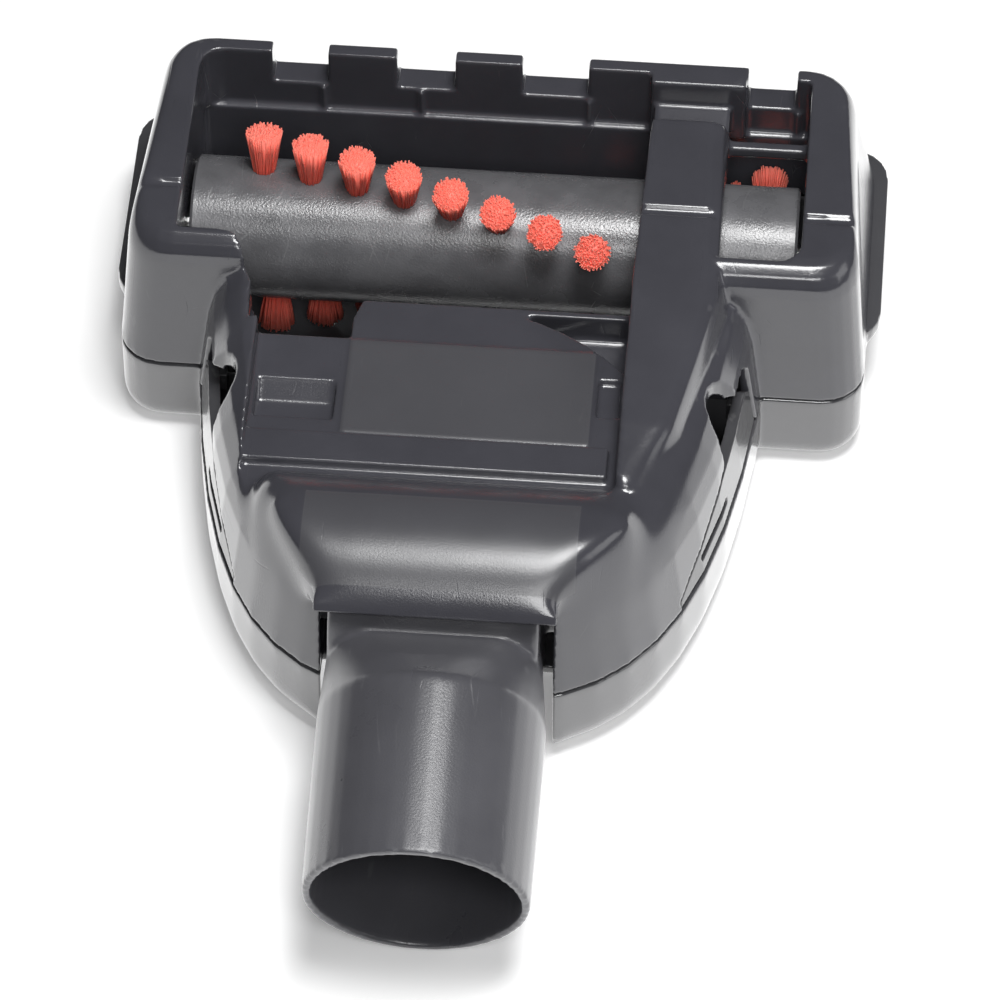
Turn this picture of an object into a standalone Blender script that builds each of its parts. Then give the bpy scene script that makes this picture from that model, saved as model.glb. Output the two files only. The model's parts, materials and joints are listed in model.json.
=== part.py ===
"""Hand-held vacuum turbo brush, lying on its back with the brush upwards.

X runs across the head, Y points to the comb along its front and Z is up.
The origin is on the table, straight under the axis of the brush. Metres throughout.
"""
import bpy
import bmesh
from math import asin, cos, pi, radians, sin
from mathutils import Matrix, Vector

# Clearances
GAP = 0.0003             # between pieces that touch
RUN = 0.0005             # beside what turns
SINK = 0.0006            # how far ribs run into the wall that carries them
EVEN = 0.0001            # keeps two joined solids from ending in one plane

# Head: the wide part that holds the brush
SEAM_Z = 0.0168          # joint between the two shells
RIM_Z = 0.046            # top of the comb and the cheeks
HEAD_HALF = 0.067        # half width at the seam
HEAD_FRONT = 0.0345      # front face at the seam
HEAD_REAR = -0.026       # rear face at the seam
RIM_HALF_FRONT = HEAD_HALF - 0.005
RIM_HALF_REAR = HEAD_HALF - 0.0024
RIM_FRONT = 0.0286
RIM_REAR = -0.0229
HEAD_CORNER = 0.0075
REAR_ROLL = 0.005        # round along the head's upper rear edge
SIDE_ROLL = 0.0012
WALL = 0.0022

# Body: the narrow part behind the head
BODY_X = -0.0016         # its middle, a little to the left of the head's
BODY_HALF = HEAD_HALF - 0.0168
BODY_SHOULDER_Y = -0.029
BODY_FLANK = (BODY_HALF - 0.0059, -0.0877)      # Bezier handles of the plan outline
BODY_TAIL_X = 0.55 * BODY_HALF
BODY_END = -0.099
BODY_DRAFT = 0.14        # slope of the side walls
SHOULDER_Z = 0.031
SHOULDER_TALL = 0.0105
SHOULDER_WIDE = 0.008

# Hood over the swivelling neck
PIVOT_Y = -0.082
PIVOT_Z = 0.026
DRUM_RADIUS = 0.0165
HOOD_WALL = 0.002
HOOD_LEFT = -0.037
HOOD_RIGHT = 0.030
HOOD_ROUND = 0.004
HOOD_SHOULDER_Z = 0.034
HOOD_SHOULDER_TALL = 0.0125
HOOD_SHOULDER_WIDE = 0.009
LIP_ANGLE = 36.0         # where the hood ends, above the horizontal

# Sole plate between the brush and the hood
PLATE_TOP = 0.0365
PLATE_THICK = 0.002
PLATE_FRONT = -0.0253
PLATE_LEFT = BODY_X - BODY_HALF + 0.0118
PLATE_BACK = -0.076      # where the recess ends, under the hood

# Mouth and its comb
MOUTH_LEFT = 0.011 - HEAD_HALF
MOUTH_RIGHT = HEAD_HALF - 0.0125
MOUTH_FRONT = 0.0250
MOUTH_REAR = -0.0186
MOUTH_CORNER = 0.004
LEDGE_Z = 0.032
CHAMBER_FRONT = 0.0238
CHAMBER_REAR = -0.0220
REAR_ROOF = 0.0375       # top of the chamber under the mouth's rear edge
TUFT_NOTCH_X = (MOUTH_LEFT + 0.0140, MOUTH_LEFT + 0.0325)
TUFT_NOTCH_REAR = -0.0325
COMB_FLOOR = 0.0383
COMB_STEP_Y = 0.0225     # thicker comb tooth ahead of the belt guard
COMB_STEP_FLOOR = 0.0405
GROOVE_Y = -0.0085
GROOVE_WIDE = 0.002
GROOVE_DEEP = 0.0007

# Belt guard that crosses the mouth
BELT_X = 0.5 * HEAD_HALF
GUARD_LEFT = BELT_X - 0.0072
GUARD_LEFT_REAR = BELT_X - 0.0083
GUARD_RIGHT = BELT_X + 0.0067
GUARD_FRONT = 0.0150
GUARD_ROUND = 0.003
GUARD_NOSE = 0.0015     # slope at the front end of the top
GUARD_SECTIONS = (       # (y, height, right edge of the flat top) behind the brush
    (-0.0275, RIM_Z, BELT_X + 0.0077),
    (-0.040, 0.0455, BELT_X + 0.0053),
    (-0.057, 0.0446, BELT_X + 0.0017),
    (-0.070, 0.0425, BELT_X - 0.0035),
)
COMB_STEP_X = (GUARD_LEFT - 0.0007, GUARD_RIGHT + 0.0026)
COMB_GAPS = (            # from the left
    (MOUTH_LEFT + 0.0127, MOUTH_LEFT + 0.0228),
    (MOUTH_LEFT + 0.0354, MOUTH_LEFT + 0.0459),
    (GUARD_LEFT - 0.0241, GUARD_LEFT - 0.0122),
    (GUARD_RIGHT + 0.0029, MOUTH_RIGHT - 0.0027),
)
WINDOW_BAR_Y = 0.0150
WINDOW_BAR_WIDE = 0.002
WINDOW_BAR_Z = (0.0365, 0.0390)

# Small features of the sole plate
LABEL_X = (PLATE_LEFT + 0.0165, GUARD_LEFT_REAR - 0.0054)
LABEL_Y = (-0.0565, -0.0350)
LABEL_PROUD = 0.0004
BAND_X = (PLATE_LEFT + 0.0004, GUARD_LEFT_REAR - 0.0018)
BAND_Y = (-0.0645, -0.0575)
BAND_PROUD = 0.0015
FINGER_X = (PLATE_LEFT + 0.0008, PLATE_LEFT + 0.0148)
FINGER_Y = (-0.0535, -0.0445)
FINGER_DEEP = 0.0026
INTAKE_LEFT = GUARD_LEFT_REAR - 0.0202
INTAKE_FRONT = -0.0267
INTAKE_REAR = -0.0395
INTAKE_DEEP = 0.006
SLOT_X = (GUARD_LEFT_REAR - 0.0046, GUARD_LEFT_REAR - 0.0006)
SLOT_Y = (-0.0495, -0.0410)
SLOT_DEEP = 0.0011

# Flange around the head of the upper shell
FLANGE_PROUD = 0.0024
FLANGE_TOP = 0.0164
FLANGE_THICK = 0.0032
FLANGE_REAR = -0.0105
BACK_ROLL = 0.006        # round along the lower edges of the upper shell
BACK_ROLL_TALL = 0.0045

# Brush
BRUSH_Z = 0.026
CORE_RADIUS = 0.0126
CORE_PLAY = 0.0008
TIP_RADIUS = 0.0208
TUFT_FOOT = 0.0016
TUFT_TIP = 0.0032
TUFT_DEPTH = 0.0030
TUFT_COUNT = 8
TUFT_ROW_X = MOUTH_LEFT + 0.0133
TUFT_PITCH = (GUARD_LEFT - 0.0088 - TUFT_ROW_X) / (TUFT_COUNT - 1)
TUFT_FIRST_ANGLE = 14.3  # degrees from straight up towards the comb
TUFT_TWIST = 8.5         # degrees from one tuft to the next
TUFT_ROWS = 2
TUFT_ROW_SHIFT = 0.0022  # the second row starts further along
END_TUFT_LEAD = 13.0     # degrees by which the tufts beyond the belt run ahead
WINDOW_TUFT_X = MOUTH_RIGHT - 0.0067
GUARD_TUFT_TIP = 0.0012  # the narrow tuft close beside the belt guard
PIN_RADIUS = 0.0025
PIN_IN_CORE = 0.012
BUSH_WALL = 0.0018
BUSH_LENGTH = 0.0022
CHEEK_WALL = 0.0018
CHEEK_OUTER = HEAD_HALF - 0.0056    # outer side of the hollow in a cheek
CHEEK_HOLLOW_TOP = 0.040
BLOCK_HALF = 0.008
BLOCK_BELOW = 0.014
BLOCK_ABOVE = 0.012

# Belt drive
BELT_WIDE = 0.007
BELT_THICK = 0.0012
BRUSH_PULLEY_RADIUS = 0.0103
TURBINE_PULLEY_RADIUS = 0.0047
PULLEY_FLANGE = 0.0008
TUNNEL_PLAY = 0.0016

# Turbine
TURBINE_Y = -0.050
TURBINE_Z = 0.0185
TURBINE_RADIUS = 0.0138
SEAT_LEFT_X = -0.0265
SEAT_RIGHT_X = BELT_X - 0.0103
TURBINE_LEFT = SEAT_LEFT_X + 0.0070
TURBINE_RIGHT = SEAT_RIGHT_X - 0.0077
VANES = 10
VANE_THICK = 0.0012
VANE_SWEEP = 22.0
HUB_RADIUS = 0.0045
SHAFT_RADIUS = 0.0015
RACE_RADIUS = 0.005
RACE_LENGTH = 0.004
SEAT_WIDE = 0.0046
CLAMP_TALL = 0.0078
SCREW_RADIUS = 0.0011
SCREW_HEAD = 0.0019
SEAT_HALF = RACE_RADIUS + 2 * SCREW_HEAD + 0.001
SCREW_HEAD_TALL = 0.0013
SCREW_DEPTH = 0.008
PARTITION_THICK = 0.0018
NOZZLE_X = (-0.019, 0.016)
NOZZLE_Z = (0.0045, 0.0125)

# Neck
NECK_X = -0.003
DRUM_X = -0.004
DRUM_HALF = 0.0182
NECK_WALL = 0.0016
TUBE_RADIUS = 0.0196
MOUTH_RADIUS = 0.0193
DROOP = 11.0             # degrees below the horizontal at rest
MOUTH_CENTRE_Y = -0.1440
TUBE_START_Y = -0.1113
TUBE_START_Z = 0.0256
FLARE_Y = -0.090
FLARE_TOP = 0.0270
FLARE_BOTTOM = 0.0146
FLARE_CORNER = 0.004
TRUNNION_RADIUS = 0.006
SADDLE_TOP = 0.022       # top of the ribs that carry the trunnions
SLOT_LEFT = -0.0238      # slot in the shells that the neck swings in
SLOT_RIGHT = 0.0165
SLOT_FRONT = -0.0785
CHEEKPLATE = 0.0016
NECK_WALL_REAR = -0.0915  # rear end of the walls beside the slot
INLET_BELOW = 0.012       # the air inlet in the front of the drum
INLET_ABOVE = 0.010

# Side latches
LATCH_FRONT = -0.0315
LATCH_REAR = -0.0755
LATCH_TOP = 0.0275
LATCH_CORNER = 0.0025
LATCH_LEVEL = 0.010      # its top runs level this far back, then falls in two steps
LATCH_BREAK = 0.022
LATCH_TAIL = 0.008
LATCH_FALL = (0.0012, 0.0050)
LATCH_TAIL_TALL = 0.002
LATCH_THICK = 0.0024
LATCH_PLAY = 0.0004
LATCH_GAP_TALL = 0.0055  # finger gap above the latch, at its front
LATCH_PIVOT_Y = -0.0685
LATCH_PIVOT_INSET = 0.0046
LATCH_BOSS = 0.0027
LATCH_BOSS_TALL = 0.004
LATCH_INNER_X = 0.025    # well inside the body, where a latch's window ends
LATCH_PIN_RADIUS = 0.0012
LATCH_HOOK = 0.0022      # how far the hook reaches in behind the shell's wall
HOOK_INSET = 0.0036
HOOK_THICK = 0.0018
LATCH_HOOK_Z = (0.0195, 0.0235)
SCOOP_Y = -0.046         # round fingertip scoop in the shell above a latch
SCOOP_RADIUS = 0.0063
SCOOP_INSET = 0.0005
GRIP_Y = (-0.067, -0.053)
GRIP_Z = (0.0198, 0.0212)
GRIP_DEEP = 0.0008

ROUND = 40               # sides of the larger round pieces
SMALL_ROUND = 20

for old in list(bpy.data.objects):
    bpy.data.objects.remove(old, do_unlink=True)


def collection(name):
    made = bpy.data.collections.new(name)
    bpy.context.scene.collection.children.link(made)
    return made


PARTS = collection("turbo_brush")
CUTTERS = collection("cutters")

HOOD_INNER = DRUM_RADIUS + RUN
HOOD_RADIUS = HOOD_INNER + HOOD_WALL
CORE_LEFT = MOUTH_LEFT + CORE_PLAY
CORE_RIGHT = MOUTH_RIGHT - CORE_PLAY
BELT_INNER = BRUSH_PULLEY_RADIUS + GAP
BELT_OUTER = BELT_INNER + BELT_THICK
SMALL_BELT_INNER = TURBINE_PULLEY_RADIUS + GAP
SMALL_BELT_OUTER = SMALL_BELT_INNER + BELT_THICK
LOWER_SEAM = SEAM_Z + GAP / 2
UPPER_SEAM = SEAM_Z - GAP / 2
ABOVE = RIM_Z + 0.01
BELOW = SEAM_Z - 0.001


# Materials

def material(name, colour, roughness, metallic=0.0):
    made = bpy.data.materials.new(name)
    made.use_nodes = True
    shader = made.node_tree.nodes["Principled BSDF"]
    shader.inputs["Base Color"].default_value = (*colour, 1.0)
    shader.inputs["Roughness"].default_value = roughness
    shader.inputs["Metallic"].default_value = metallic
    made.diffuse_color = (*colour, 1.0)
    return made


SHELL_PLASTIC = material("shell_plastic", (0.075, 0.075, 0.085), 0.25)
NECK_PLASTIC = material("neck_plastic", (0.08, 0.08, 0.09), 0.28)
ROLLER_PLASTIC = material("roller_plastic", (0.10, 0.10, 0.11), 0.45)
LATCH_PLASTIC = material("latch_plastic", (0.03, 0.03, 0.035), 0.35)
BRISTLE = material("bristle", (0.93, 0.16, 0.12), 0.7)
STEEL = material("steel", (0.6, 0.6, 0.62), 0.25, 1.0)
BRONZE = material("bronze", (0.55, 0.38, 0.18), 0.4, 1.0)
BLACK_PLASTIC = material("black_plastic", (0.03, 0.03, 0.033), 0.4)
BELT_RUBBER = material("belt_rubber", (0.02, 0.02, 0.02), 0.8)
TURBINE_PLASTIC = material("turbine_plastic", (0.55, 0.55, 0.53), 0.4)


# Making shapes

def add(name, mesh, paint=None):
    """A new object: a piece when it has a material, a cutter when it has none."""
    made = bpy.data.objects.new(name, mesh)
    if paint:
        mesh.materials.append(paint)
        PARTS.objects.link(made)
    else:
        made.hide_render = True
        made.display_type = 'WIRE'
        CUTTERS.objects.link(made)
    return made


def from_bmesh(name, bm, paint=None):
    bmesh.ops.recalc_face_normals(bm, faces=bm.faces[:])
    mesh = bpy.data.meshes.new(name)
    bm.to_mesh(mesh)
    bm.free()
    return add(name, mesh, paint)


def loft(name, sections, paint=None):
    """A solid through sections that all have the same number of points."""
    bm = bmesh.new()
    rings = [[bm.verts.new(point) for point in section] for section in sections]
    for lower, upper in zip(rings, rings[1:]):
        for i in range(len(lower)):
            j = (i + 1) % len(lower)
            bm.faces.new((lower[i], lower[j], upper[j], upper[i]))
    bm.faces.new(rings[0])
    bm.faces.new(rings[-1])
    return from_bmesh(name, bm, paint)


def box(name, x, y, z, paint=None):
    """A box between the two limits given for each axis."""
    bm = bmesh.new()
    bmesh.ops.create_cube(bm, size=1.0)
    size = (abs(x[1] - x[0]), abs(y[1] - y[0]), abs(z[1] - z[0]))
    centre = Vector((x[0] + x[1], y[0] + y[1], z[0] + z[1])) / 2
    place = Matrix.Translation(centre) @ Matrix.Diagonal((*size, 1.0))
    bmesh.ops.transform(bm, verts=bm.verts[:], matrix=place)
    return from_bmesh(name, bm, paint)


AXIS_TURN = {'X': Matrix.Rotation(pi / 2, 4, 'Y'), 'Z': Matrix.Identity(4)}


def rod(name, axis, ends, centre, radius, sides=SMALL_ROUND, paint=None):
    """A cylinder along X or Z between two ends, round the two other coordinates."""
    bm = bmesh.new()
    bmesh.ops.create_cone(bm, cap_ends=True, segments=sides, radius1=radius, radius2=radius,
                          depth=abs(ends[1] - ends[0]))
    middle = (ends[0] + ends[1]) / 2
    place = Vector((middle, *centre)) if axis == 'X' else Vector((*centre, middle))
    bmesh.ops.transform(bm, verts=bm.verts[:], matrix=Matrix.Translation(place) @ AXIS_TURN[axis])
    made = from_bmesh(name, bm, paint)
    if paint:
        smooth(made)
    return made


def turned(name, profile, centre, sides, paint=None):
    """A solid turned about X through centre (y, z), from its (x, radius) profile."""
    mesh = bpy.data.meshes.new(name)
    points = [(radius, 0.0, x) for x, radius in reversed(profile)]
    edges = [(i, i + 1) for i in range(len(points) - 1)]
    if profile[0][1] > 0:
        edges.append((len(points) - 1, 0))
    mesh.from_pydata(points, edges, [])
    made = add(name, mesh, paint)
    made.matrix_world = Matrix.Translation((0.0, *centre)) @ AXIS_TURN['X']
    screw = made.modifiers.new("turn", 'SCREW')
    screw.steps = screw.render_steps = sides
    screw.use_merge_vertices = True
    screw.merge_threshold = 0.00001
    screw.use_smooth_shade = False
    return made


def slab(name, outline, axis, ends, paint=None):
    """A flat outline given its thickness: (x, y) points along Z, or (y, z) points along X."""
    curve = bpy.data.curves.new(name, 'CURVE')
    curve.dimensions = '2D'
    curve.fill_mode = 'BOTH'
    curve.extrude = abs(ends[1] - ends[0]) / 2
    spline = curve.splines.new('POLY')
    spline.points.add(len(outline) - 1)
    for point, (u, v) in zip(spline.points, outline):
        point.co = (u, v, 0.0, 1.0)
    spline.use_cyclic_u = True
    flat = bpy.data.objects.new(name + "_outline", curve)
    CUTTERS.objects.link(flat)
    bpy.context.view_layer.update()
    mesh = bpy.data.meshes.new_from_object(flat.evaluated_get(bpy.context.evaluated_depsgraph_get()))
    bpy.data.objects.remove(flat, do_unlink=True)
    middle = (ends[0] + ends[1]) / 2
    if axis == 'X':
        place = Matrix(((0, 0, 1, middle), (1, 0, 0, 0), (0, 1, 0, 0), (0, 0, 0, 1)))
    else:
        place = Matrix.Translation((0, 0, middle))
    bm = bmesh.new()
    bm.from_mesh(mesh)
    bpy.data.meshes.remove(mesh)
    bmesh.ops.remove_doubles(bm, verts=bm.verts[:], dist=0.000001)
    bmesh.ops.transform(bm, verts=bm.verts[:], matrix=place)
    return from_bmesh(name, bm, paint)


def open_slot(name, x, centre, radius):
    """A slot across X with a round end at centre, open downwards through the seam."""
    feet = [(centre[0] - radius, BELOW), (centre[0] + radius, BELOW)]
    return slab(name, arc(centre, radius, 0, 180, 12) + feet, 'X', x)


def combine(piece, other, operation):
    modifier = piece.modifiers.new(other.name, 'BOOLEAN')
    modifier.operation = operation
    modifier.solver = 'EXACT'
    modifier.object = other


def cut(piece, *cutters):
    for cutter in cutters:
        combine(piece, cutter, 'DIFFERENCE')


def fuse(piece, *others):
    for other in others:
        combine(piece, other, 'UNION')


def smooth(piece, angle=35.0):
    """Smooth shading on round stretches, kept sharp at the edges of a piece."""
    piece.data.shade_smooth()
    piece.data.set_sharp_from_angle(angle=radians(angle))


def move_origin(piece, origin):
    """Puts a piece's origin on its joint's axis, with the piece left in place."""
    piece.data.transform(Matrix.Translation(Vector(origin)).inverted() @ piece.matrix_world)
    piece.matrix_world = Matrix.Translation(origin)


BRUSH_AXIS = (0.0, 0.0, BRUSH_Z)
TURBINE_AXIS = (0.0, TURBINE_Y, TURBINE_Z)
NECK_AXIS = (0.0, PIVOT_Y, PIVOT_Z)


# Outlines

def arc(centre, radius, start, end, steps):
    """Points on an arc, from start to end in degrees."""
    angles = [radians(start + (end - start) * i / steps) for i in range(steps + 1)]
    return [(centre[0] + radius * cos(a), centre[1] + radius * sin(a)) for a in angles]


def head_outline(half_front, half_rear, front, rear, corner, steps=5):
    """The head in plan: a four-sided outline with rounded corners."""
    return (arc((half_front - corner, front - corner), corner, 0, 90, steps)
            + arc((corner - half_front, front - corner), corner, 90, 180, steps)
            + arc((corner - half_rear, rear + corner), corner, 180, 270, steps)
            + arc((half_rear - corner, rear + corner), corner, 270, 360, steps))


def body_outline(inset, steps=11):
    """The body in plan, drawn in by inset: near-straight flanks that close in a round tail."""
    shoulder = Vector((BODY_HALF, BODY_SHOULDER_Y))
    first, second, tail = Vector(BODY_FLANK), Vector((BODY_TAIL_X, BODY_END)), Vector((0.0, BODY_END))
    side = []
    for i in range(steps + 1):
        t = i / steps
        u = 1.0 - t
        place = u ** 3 * shoulder + 3 * u * u * t * first + 3 * u * t * t * second + t ** 3 * tail
        along = u * u * (first - shoulder) + 2 * u * t * (second - first) + t * t * (tail - second)
        along.normalize()
        side.append(place + inset * Vector((along.y, -along.x)))
    right = [(BODY_HALF - inset, HEAD_REAR + 2 * HEAD_CORNER)] + [(p.x, p.y) for p in side]
    return [(BODY_X + x, y) for x, y in right] + [(BODY_X - x, y) for x, y in reversed(right[:-1])]


def body_edge(inset, y, side):
    """X of the body's right (1) or left (-1) edge at y, drawn in by inset."""
    flank = [point for point in body_outline(inset) if side * (point[0] - BODY_X) > 0]
    for (x0, y0), (x1, y1) in zip(flank, flank[1:]):
        if min(y0, y1) <= y <= max(y0, y1):
            return x0 + (x1 - x0) * (y - y0) / (y1 - y0)


def at_height(outline, z):
    return [(x, y, z) for x, y in outline]


def head_at(z):
    """Sizes of the head at a height, on its drafted walls."""
    t = (z - SEAM_Z) / (RIM_Z - SEAM_Z)
    return (HEAD_HALF + (RIM_HALF_FRONT - HEAD_HALF) * t, HEAD_HALF + (RIM_HALF_REAR - HEAD_HALF) * t,
            HEAD_FRONT + (RIM_FRONT - HEAD_FRONT) * t, HEAD_REAR + (RIM_REAR - HEAD_REAR) * t)


def head_solid(name, paint=None):
    """The head above the seam, with its rear edge rolled over."""
    sections = [at_height(head_outline(*head_at(LOWER_SEAM), HEAD_CORNER), LOWER_SEAM)]
    for degrees in (0, 22.5, 45, 67.5, 90):
        drawn_in = 1 - cos(radians(degrees))
        z = RIM_Z - REAR_ROLL * (1 - sin(radians(degrees)))
        half_front, half_rear, front, rear = head_at(z)
        side = SIDE_ROLL * drawn_in
        sections.append(at_height(head_outline(half_front - side, half_rear - side, front - side,
                                               rear + REAR_ROLL * drawn_in, HEAD_CORNER), z))
    return loft(name, sections, paint)


def body_solid(name, floor, shoulder_z, tall, wide, inset=0.0, paint=None):
    """The body above floor: drafted walls, then a round shoulder as tall and wide as asked."""
    def draft(z):
        return inset + (z - SEAM_Z) * BODY_DRAFT
    sections = [at_height(body_outline(draft(floor)), floor)]
    for degrees in (0, 22.5, 45, 67.5, 90):
        z = shoulder_z + tall * sin(radians(degrees))
        sections.append(at_height(body_outline(draft(z) + wide * (1 - cos(radians(degrees)))), z))
    return loft(name, sections, paint)


def cheek_inner(side):
    """Inner side of the hollow in a cheek, on the right (1) or on the left (-1)."""
    return MOUTH_RIGHT + CHEEK_WALL if side > 0 else MOUTH_LEFT - CHEEK_WALL


def neck_slot_sides():
    """The two plates beside the neck's slot, as spans of X."""
    return (("left", (SLOT_LEFT - CHEEKPLATE, SLOT_LEFT)), ("right", (SLOT_RIGHT, SLOT_RIGHT + CHEEKPLATE)))


def saddles():
    """The two ribs that carry the neck's trunnions, outside those plates."""
    left = SLOT_LEFT - CHEEKPLATE - RUN
    right = SLOT_RIGHT + CHEEKPLATE + RUN
    return (("left", (left - CHEEKPLATE, left)), ("right", (right, right + CHEEKPLATE)))


# Lower shell: comb, sole plate, belt guard and hood

def guard_sections(shrink=0.0):
    """Belt guard sections across X, from the comb back to the hood."""
    made = []
    front = (GUARD_FRONT, RIM_Z - GUARD_NOSE, GUARD_RIGHT)
    second = (GUARD_FRONT - GUARD_NOSE, RIM_Z, GUARD_RIGHT)
    for y, height, edge in (front, second, *GUARD_SECTIONS):
        left = (GUARD_LEFT if y > 0 else GUARD_LEFT_REAR) + shrink
        right, top = edge - shrink, height + EVEN - shrink
        base = SHOULDER_Z - shrink
        made.append([(left, y, base), (right + GUARD_ROUND, y, base), (right, y, top - GUARD_ROUND),
                     (right - GUARD_ROUND * 0.3, y, top - GUARD_ROUND * 0.3), (right - GUARD_ROUND, y, top),
                     (left, y, top)])
    return made


def hood_solid():
    """A turned hood over the neck's drum, trimmed to the body's plan outline."""
    rounded = [(HOOD_ROUND * (1 - sin(radians(a))), HOOD_RADIUS - HOOD_ROUND * (1 - cos(radians(a))))
               for a in (90, 60, 30, 0)]
    profile = ([(HOOD_LEFT, 0.0)] + [(HOOD_LEFT + x, r) for x, r in rounded]
               + [(HOOD_RIGHT - x, r) for x, r in reversed(rounded)] + [(HOOD_RIGHT, 0.0)])
    made = turned("hood", profile, (PIVOT_Y, PIVOT_Z), 48)
    combine(made, body_solid("hood_envelope", SHOULDER_Z - SINK, HOOD_SHOULDER_Z, HOOD_SHOULDER_TALL,
                             HOOD_SHOULDER_WIDE, inset=EVEN), 'INTERSECT')
    return made


def mouth_outline():
    """The brush mouth in plan, with the notch behind the brush and the thick tooth at the guard."""
    c = MOUTH_CORNER
    left, right = TUFT_NOTCH_X
    inside = GUARD_LEFT + WALL
    return ([(MOUTH_RIGHT, MOUTH_FRONT), (COMB_STEP_X[1], MOUTH_FRONT), (COMB_STEP_X[1], COMB_STEP_Y),
             (COMB_STEP_X[0], COMB_STEP_Y), (COMB_STEP_X[0], MOUTH_FRONT)]
            + arc((MOUTH_LEFT + c, MOUTH_FRONT - c), c, 90, 180, 4)
            + [(MOUTH_LEFT, MOUTH_REAR + EVEN)]
            + arc((MOUTH_LEFT + 2 * c, MOUTH_REAR - c), c, 90, 25, 3)
            + [(left, PLATE_FRONT - 0.001)]
            + arc((left + c / 2, TUFT_NOTCH_REAR + c / 2), c / 2, 180, 270, 2)
            + arc((right - c, TUFT_NOTCH_REAR + c), c, 270, 345, 4)
            + [(right + 0.0012, PLATE_FRONT), (inside, PLATE_FRONT), (inside, MOUTH_REAR + EVEN)]
            + arc((MOUTH_RIGHT - c, MOUTH_REAR + c), c, 270, 360, 4))


def chamber_outline():
    """The brush chamber in plan, below the mouth's edge."""
    rear = CHAMBER_REAR
    step = BODY_HALF - 2 * WALL
    return [(BODY_X + step, PLATE_FRONT), (BODY_X + step + WALL, rear - 2 * EVEN), (MOUTH_RIGHT, rear),
            (MOUTH_RIGHT, CHAMBER_FRONT), (MOUTH_LEFT, CHAMBER_FRONT + EVEN), (MOUTH_LEFT, rear - EVEN),
            (BODY_X - step - WALL, rear - 3 * EVEN), (BODY_X - step, PLATE_FRONT - EVEN)]


def intake_outline(grow=0.0):
    """The recess between the sole plate and the belt guard, behind the brush."""
    start = Vector((INTAKE_LEFT - grow, INTAKE_FRONT))
    end = Vector((GUARD_LEFT_REAR + EVEN + grow, INTAKE_REAR - grow))
    bend = start + Vector((0.6 * (end.x - start.x) - grow * 0.5, 0.3 * (end.y - start.y) - grow * 0.7))
    curve = [(1 - t) ** 2 * start + 2 * t * (1 - t) * bend + t * t * end for t in (0, 0.2, 0.4, 0.6, 0.8, 1)]
    front = start.y + grow * 0.6
    outline = [(p.x, p.y) for p in curve] + [(end.x, front)]
    return outline + [(start.x, front)] if grow else outline


def rear_hollow():
    """The space in the body, kept off the sole plate, the hood and the brush chamber."""
    made = body_solid("rear_hollow", BELOW, SHOULDER_Z, SHOULDER_TALL - WALL, SHOULDER_WIDE, inset=WALL)
    cut(made,
        box("plate_keep", (PLATE_LEFT - WALL, GUARD_LEFT_REAR + PLATE_THICK), (2 * BODY_END, 0.0),
            (PLATE_TOP - PLATE_THICK, ABOVE)),
        box("chamber_keep", (-HEAD_HALF, HEAD_HALF), (PLATE_FRONT - PARTITION_THICK, HEAD_FRONT),
            (0.0, ABOVE)))
    return made


def hood_hollow():
    made = rod("hood_hollow", 'X', (HOOD_LEFT + WALL, HOOD_RIGHT - WALL), (PIVOT_Y, PIVOT_Z), HOOD_INNER,
               sides=48)
    combine(made, body_solid("hood_hollow_envelope", SHOULDER_Z - SINK, HOOD_SHOULDER_Z,
                             HOOD_SHOULDER_TALL - WALL, HOOD_SHOULDER_WIDE, inset=WALL + SINK), 'INTERSECT')
    return made


def belt_tunnel():
    """Room for the belt where it leaves the brush chamber towards the turbine."""
    x = (BELT_X - BELT_WIDE / 2 - TUNNEL_PLAY, BELT_X + BELT_WIDE / 2 + TUNNEL_PLAY)
    slope = (TURBINE_Z + SMALL_BELT_OUTER - BRUSH_Z - BELT_OUTER) / TURBINE_Y
    reach = BELT_OUTER + TUNNEL_PLAY
    back = PLATE_FRONT - 2 * PARTITION_THICK
    return slab("belt_tunnel", arc((0.0, BRUSH_Z), reach, 0, 90, 6)
                + [(back, BRUSH_Z + reach + slope * back), (back, BELOW), (reach, BELOW)], 'X', x)


def latch_profile(play, tall):
    """A side latch seen from its side, as (y, z), or its window when play and tall are given."""
    top = LATCH_TOP + tall
    front, rear = LATCH_FRONT + play, LATCH_REAR - play
    return [(front, BELOW), (front, top - LATCH_CORNER), (front - LATCH_CORNER, top),
            (front - LATCH_LEVEL, top),
            (front - LATCH_BREAK, top - LATCH_FALL[0] - tall * 0.7),
            (rear + LATCH_TAIL, top - LATCH_FALL[1] - tall * 0.85),
            (rear, SEAM_Z + LATCH_TAIL_TALL + play), (rear, BELOW)]


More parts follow.
